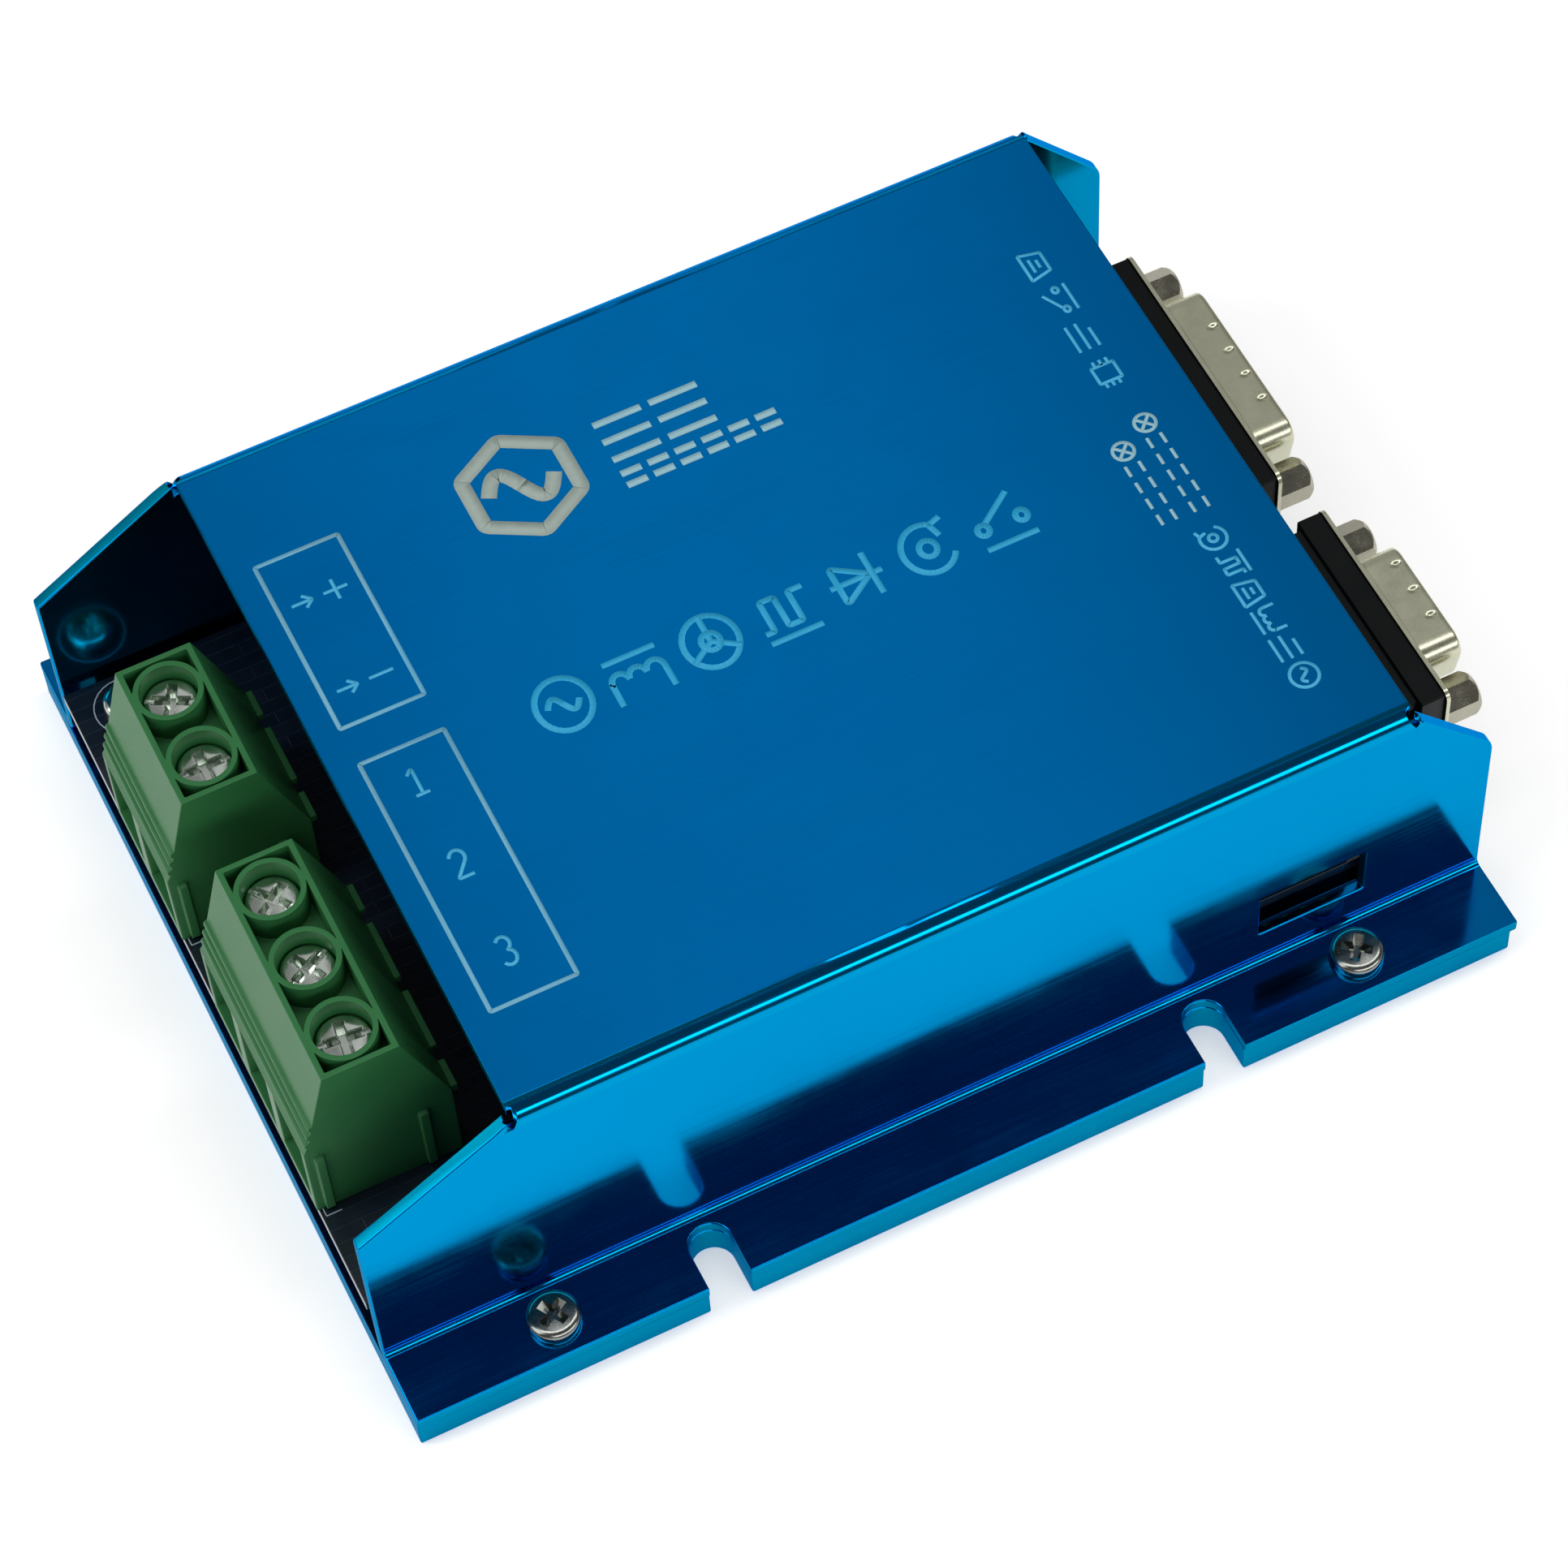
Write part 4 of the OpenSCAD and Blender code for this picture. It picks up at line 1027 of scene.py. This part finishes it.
def jackscrew_master():
    """Along +Z, with the flange face at z = 0."""
    length, half_af = POST_L, POST_HALF
    point_r = half_af / math.cos(math.radians(30))
    corners = [(x * MM, y * MM) for x, y in arc(0, 0, point_r, 0, 300, 5)]
    hexagons = [[(x, y, z * MM) for x, y in corners] for z in (0.0, length)]
    bar = loft("jackscrew_master", hexagons)
    blank = lathe("chamfered_blank", [(0, -0.1), (point_r - 0.25, -0.1), (point_r + 0.02, 0.25),
                                      (point_r + 0.02, length - 0.7), (half_af - 0.15, length), (0, length)])
    common = bar.modifiers.new("common", "BOOLEAN")
    common.operation, common.solver, common.object = "INTERSECT", "EXACT", blank
    flattened(bar)
    bpy.data.objects.remove(blank)
    crest, root, pitch = 1.2, 1.42, 0.64
    threads = [(0, length - 4.5), (crest, length - 4.5)]
    for i in range(6):
        z = length - 4.3 + i * pitch
        threads += [(crest, z), (root, z + pitch * 0.35), (root, z + pitch * 0.5), (crest, z + pitch * 0.85)]
    threads += [(crest, length - 0.3), (crest + 0.45, length + 0.15), (0, length + 0.15)]
    return flat_normals(punched(bar, [lathe("tap", threads, 32)]))


master = jackscrew_master()
stud = lathe("jack_stud", [(0, -6), (1.1, -6), (1.4, -5.7), (1.4, 0.01), (0, 0.01)], 24)
for connector in ("control", "encoder"):
    node = connector + "_jackscrews"
    low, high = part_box(node)
    flange_x = high.x - POST_L * MM
    stands = [(flange_x, y, middle(node)[2]) for y in (low.y + POST_HALF * MM, high.y - POST_HALF * MM)]
    lying = [(0, 90, 0)] * 2
    copies(node + "_look", master, stands, lying, aged_nickel, "screw_nickel", node)
    copies(connector + "_studs", stud, stands, lying, nickel, "screw_nickel")
bpy.data.objects.remove(master)
bpy.data.objects.remove(stud)

# %% [markdown]
# ## Connector pins
#
# A contact is a turned brass pin, 1 mm across with a rounded tip, flashed with gold. Behind the
# body it is drawn thinner and bent down into the board. A tube run along a bent line gives the
# same thing: each point of the line carries its own size, so the tail is thin and the tip rounds
# off, and the bend is a fillet in the tree.

# %% A tree that runs a tube along every line
tube_tree, tube_in = new_tree("tube_along_lines", {
    "Radius": "Float", "Corner radius": "Float", "Finish": "Material"})
tube_lines = add_node(tube_tree, "GeometryNodeMeshToCurve", {0: tube_in["Geometry"]})
tube_bends = add_node(tube_tree, "GeometryNodeFilletCurve", {
    "Curve": tube_lines.outputs[0], "Count": 5, "Radius": tube_in["Corner radius"],
    "Limit Radius": True}, mode="POLY")
tube_size = add_node(tube_tree, "GeometryNodeInputNamedAttribute", {"Name": "size"}, data_type="FLOAT")
tube_radius = add_node(tube_tree, "GeometryNodeSetCurveRadius", {
    "Curve": tube_bends.outputs[0], "Radius": tube_size.outputs["Attribute"]})
tube_circle = add_node(tube_tree, "GeometryNodeCurvePrimitiveCircle", {
    "Resolution": 16, "Radius": tube_in["Radius"]}, mode="RADIUS")
tube_swept = add_node(tube_tree, "GeometryNodeCurveToMesh", {
    "Curve": tube_radius.outputs[0], "Profile Curve": tube_circle.outputs[0], "Fill Caps": True})
if "Scale" in tube_swept.inputs:
    tube_tree.links.new(tube_size.outputs["Attribute"], tube_swept.inputs["Scale"])
close_tree(tube_tree, tube_swept.outputs[0], tube_in["Finish"])

# %% Pins of both D connectors
PIN_PITCH, PIN_ROW, PIN_R, PIN_TIP, BODY_DEPTH = 2.77, 2.84, 0.5, 4.9, 10.5


def connector_pins(connector, count):
    """The pins of one connector, the longer row on top."""
    face_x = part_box(connector + "_shell")[1].x / MM - SHELL_D
    mid_y, mid_z = (v / MM for v in middle(connector + "_shell")[1:])
    foot_z = board_top / MM + 0.02
    points, sizes, edges = [], [], []
    upper = (count + 1) // 2
    for in_row, side, past_body in ((upper, 1, 4.0), (count - upper, -1, 1.6)):
        for i in range(in_row):
            y, z = mid_y + (i - (in_row - 1) / 2) * PIN_PITCH, mid_z + side * PIN_ROW / 2
            tail_x, tip_x = face_x - BODY_DEPTH - past_body, face_x + PIN_TIP
            inside_x = face_x - BODY_DEPTH + 1
            stations = [(tail_x, foot_z, 0.6), (tail_x, z, 0.6), (inside_x, z, 0.6),
                        (inside_x + 0.05, z, 1), (tip_x - 0.5, z, 1), (tip_x - 0.22, z, 0.9),
                        (tip_x - 0.06, z, 0.62), (tip_x, z, 0.25)]
            add_path(points, edges, [(x * MM, y * MM, height * MM) for x, height, size in stations])
            sizes += [size for x, height, size in stations]
    pins = seed_of(connector + "_pins_look", points, edges)
    pins.data.attributes.new("size", "FLOAT", "POINT").data.foreach_set("value", sizes)
    grow(pins, tube_tree, {"Radius": PIN_R * MM, "Corner radius": 0.45 * MM, "Finish": gold_flash})
    pins.data.shade_smooth()
    flat_normals(pins, 50)
    print(connector, "has", count, "pins,", len(pins.data.polygons), "faces")
    return hold(pins, "case", "pin_gold", connector + "_pins")


connector_pins("control", 15)
connector_pins("encoder", 9)

# %% [markdown]
# ## Parts on the board
#
# None of these can be seen from the front corner, but they show through both open ends. A can
# capacitor is an aluminium cup, crimped near its foot onto a rubber plug and shrunk into a
# printed sleeve. The sleeve's edge rolls over onto the lid, and the lid is scored with a cross so
# that it would open gently. It is turned like the screws and punched with the same cross.

# %% Capacitors
CAN_R, CAN_H = 8.0, 20.5
sleeve_master = lathe("sleeve_master", [
    (0, 0), (7.3, 0), (7.6, 0.25), (7.75, 1.2), (7.55, 1.6), (7.4, 1.95), (7.55, 2.3), (7.85, 2.7),
    (CAN_R, 3.2), (CAN_R, CAN_H - 0.7), (CAN_R - 0.12, CAN_H - 0.3), (CAN_R - 0.45, CAN_H - 0.03),
    (CAN_R - 1.1, CAN_H), (CAN_R - 1.15, CAN_H - 0.1), (0, CAN_H - 0.1)], 64)
lid_master = lathe("lid_master", [(0, CAN_H - 0.5), (CAN_R - 1.2, CAN_H - 0.5), (CAN_R - 1.2, CAN_H - 0.06),
                                  (CAN_R - 1.35, CAN_H - 0.02), (0, CAN_H - 0.02)], 64)
score = loft("score_punch", [cross_outline(4.9, 0.12, CAN_H - 0.25), cross_outline(5.0, 0.25, CAN_H + 0.1)])
flat_normals(punched(lid_master, [score]))
flat_normals(sleeve_master)
low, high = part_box("bulk_capacitors")
can_x, pitch_y = middle("bulk_capacitors")[0], (high.y - low.y) / 2 - CAN_R * MM
stands = [(can_x, i * pitch_y, board_top) for i in (-1, 0, 1)]
faces_turned = [(0, 0, a) for a in (20, 65, 40)]
copies("bulk_capacitors_look", sleeve_master, stands, faces_turned, black_moulding,
       "can_sleeve", "bulk_capacitors")
copies("capacitor_lids", lid_master, stands, faces_turned, zinc_steel, "can_sleeve")
bpy.data.objects.remove(sleeve_master)
bpy.data.objects.remove(lid_master)

# %% [markdown]
# A chip is a block of epoxy with a slight draft where the mould parted, and a dimple by leg one.
# Its legs are stamped strip, stepped down to the board. The flat bar tree runs along the step.

# %% Chips and their legs
def chip(node, places, half_l, half_w, height, legs, all_round):
    """Bodies and legs of one kind of chip. places are (x, y) in mm of the bodies' middles."""
    draft, parting = 0.18, height * 0.5
    outline = ((-1, -1), (1, -1), (1, 1), (-1, 1))
    levels = ((0.1, draft), (parting, 0.0), (height - 0.1, draft * 0.8), (height, draft * 1.5))
    sections = [[(sx * (half_l - inset) * MM, sy * (half_w - inset) * MM, z * MM) for sx, sy in outline]
                for z, inset in levels]
    dimple = lathe("dimple", [(0, -0.2), (0.5, -0.2), (0.62, 0.2), (0, 0.2)], 24)
    dimple.matrix_world = Matrix.Translation(Vector((1.2 - half_l, 1.2 - half_w, height)) * MM)
    bpy.context.view_layer.update()
    body = flat_normals(punched(loft(node + "_master", sections), [dimple]))
    stands = [(x * MM, y * MM, board_top) for x, y in places]
    copies(node + "_look", body, stands, [(0, 0, 0)] * len(places), epoxy, "package_black", node)
    bpy.data.objects.remove(body)
    step = [(0.2, parting), (-0.35, parting), (-0.55, 0.12), (-0.98, 0.1)]
    points, edges = [], []
    for cx, cy in places:
        for i in range(legs):
            along = (i - (legs - 1) / 2) * 2 * half_l / (legs + 0.5)
            for side in (-1, 1):
                for wx, wy in [(0, side)] + ([(side, 0)] if all_round else []):
                    path = []
                    for inward, z in step:
                        reach = half_w - inward
                        x, y = (cx + along, cy + wy * reach) if wy else (cx + wx * reach, cy + along)
                        path.append((x * MM, y * MM, board_top + z * MM))
                    add_path(points, edges, path)
    feet = grow(seed_of(node + "_legs", points, edges), bar_tree, {
        "Line width": 0.3 * MM, "Thickness": 0.14 * MM, "Corner radius": 0.15 * MM, "Finish": tinned_copper})
    print(node, "has", len(places) * legs * (4 if all_round else 2), "legs")
    return hold(feet, "case", "package_black")


chip("gate_drivers", [(-10, -28), (-10, 0), (-10, 28)], 5, 3.75, 2.4, 8, False)
chip("controller_chip", [(28, -14)], 5, 5, 1.5, 12, True)

# %% [markdown]
# ## Floor and light
#
# A catalogue picture is taken on a white sweep. The floor is matt and faintly lit from within, so
# that it stays white and still takes a soft shadow.

# %% Floor
FLOOR_HALF, FLOOR_DROP = 1.5, 0.2 * MM
shaped = bmesh.new()
outline = ((-1, -1), (1, -1), (1, 1), (-1, 1))
shaped.faces.new([shaped.verts.new((x * FLOOR_HALF, y * FLOOR_HALF, -FLOOR_DROP)) for x, y in outline])
floor = settle(shaped, "floor")
floor_paint, _, floor_shader, _ = start_finish("pale_floor")
floor_shader.inputs["Base Color"].default_value = linear("F4F4F4")
floor_shader.inputs["Roughness"].default_value = 0.8
floor_shader.inputs["Emission Color"].default_value = (1, 1, 1, 1)
floor_shader.inputs["Emission Strength"].default_value = 0.42
floor.data.materials.append(floor_paint)
floor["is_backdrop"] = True

# %% [markdown]
# A polished case is lit by what it mirrors. The top mirrors the room high behind it, where a
# bright pool fades sideways, and the flanges mirror the dim side that the camera is on. So the
# surroundings are a function of direction. The camera itself sees an even pale backdrop.

# %% Surroundings
scene.view_settings.view_transform = "Standard"
world = bpy.data.worlds.new("studio")
scene.world = world
world.use_nodes = True
sky = world.node_tree
sky_out = sky.nodes["Background"]
facing = add_node(sky, "ShaderNodeTexCoord").outputs["Generated"]
parts = add_node(sky, "ShaderNodeSeparateXYZ", {0: facing})
POOL_X, POOL_FALL, POOL_PEAK, POOL_LEAST, FRONT_GLOW, BACKDROP = 0.2, -18.0, 0.60, 0.24, 0.11, 0.92
off_pool = arithmetic(sky, "SUBTRACT", parts.outputs["X"], POOL_X)
squared = arithmetic(sky, "MULTIPLY", off_pool, off_pool)
pool = arithmetic(sky, "MULTIPLY_ADD", squared, POOL_FALL, POOL_PEAK)
ceiling = arithmetic(sky, "MAXIMUM", pool, POOL_LEAST)
behind = add_node(sky, "ShaderNodeMapRange", {
    "Value": parts.outputs["Y"], "From Min": 0.05, "From Max": 0.35, "To Min": 0.0, "To Max": 1.0},
    interpolation_type="SMOOTHSTEP").outputs[0]
glow = add_node(sky, "ShaderNodeMix", {"Factor": behind, 2: FRONT_GLOW, 3: ceiling}).outputs[0]
seen = add_node(sky, "ShaderNodeLightPath").outputs["Is Camera Ray"]
backdrop = add_node(sky, "ShaderNodeMix", {"Factor": seen, 2: glow, 3: BACKDROP}).outputs[0]
sky.links.new(backdrop, sky_out.inputs["Strength"])
sky_out.inputs["Color"].default_value = (1, 1, 1, 1)


# %% [markdown]
# Three soft panels do the rest. The strip overhead and the panel in front each leave a thin
# bright line along the folds, and the panel at the left lights the green terminals.

# %% Soft panels
def add_panel(name, place_mm, aim_mm, size_mm, radiance, along=(1, 0, 0)):
    """A rectangular soft light, its first side along a direction, as bright as radiance to the eye."""
    lamp = bpy.data.lights.new(name, "AREA")
    lamp.shape = "RECTANGLE"
    lamp.size, lamp.size_y = (s * MM for s in size_mm)
    lamp.energy = radiance * math.pi * lamp.size * lamp.size_y
    held = bpy.data.objects.new(name, lamp)
    scene.collection.objects.link(held)
    away = (Vector(place_mm) - Vector(aim_mm)).normalized()
    side = (Vector(along) - away * away.dot(Vector(along))).normalized()
    turned = Matrix((side, away.cross(side), away)).transposed().to_4x4()
    held.matrix_world = Matrix.Translation(Vector(place_mm) * MM) @ turned
    return held


add_panel("overhead_strip", (150, 20, 900), (0, 0, 20), (1500, 200), 3.6)
add_panel("front_panel", (250, -850, 520), (0, 0, 20), (1700, 240), 3.6)
add_panel("left_key", (-850, 100, 650), (0, 0, 20), (800, 800), 2.2, (0, 1, 0))

# %% [markdown]
# ## Sizes
#
# The looks must not change the size, so the box of everything shown is printed.

# %% Print the size of what is shown, and finish
low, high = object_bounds()
print("visual box in mm:", [round(v / MM, 1) for v in high - low])
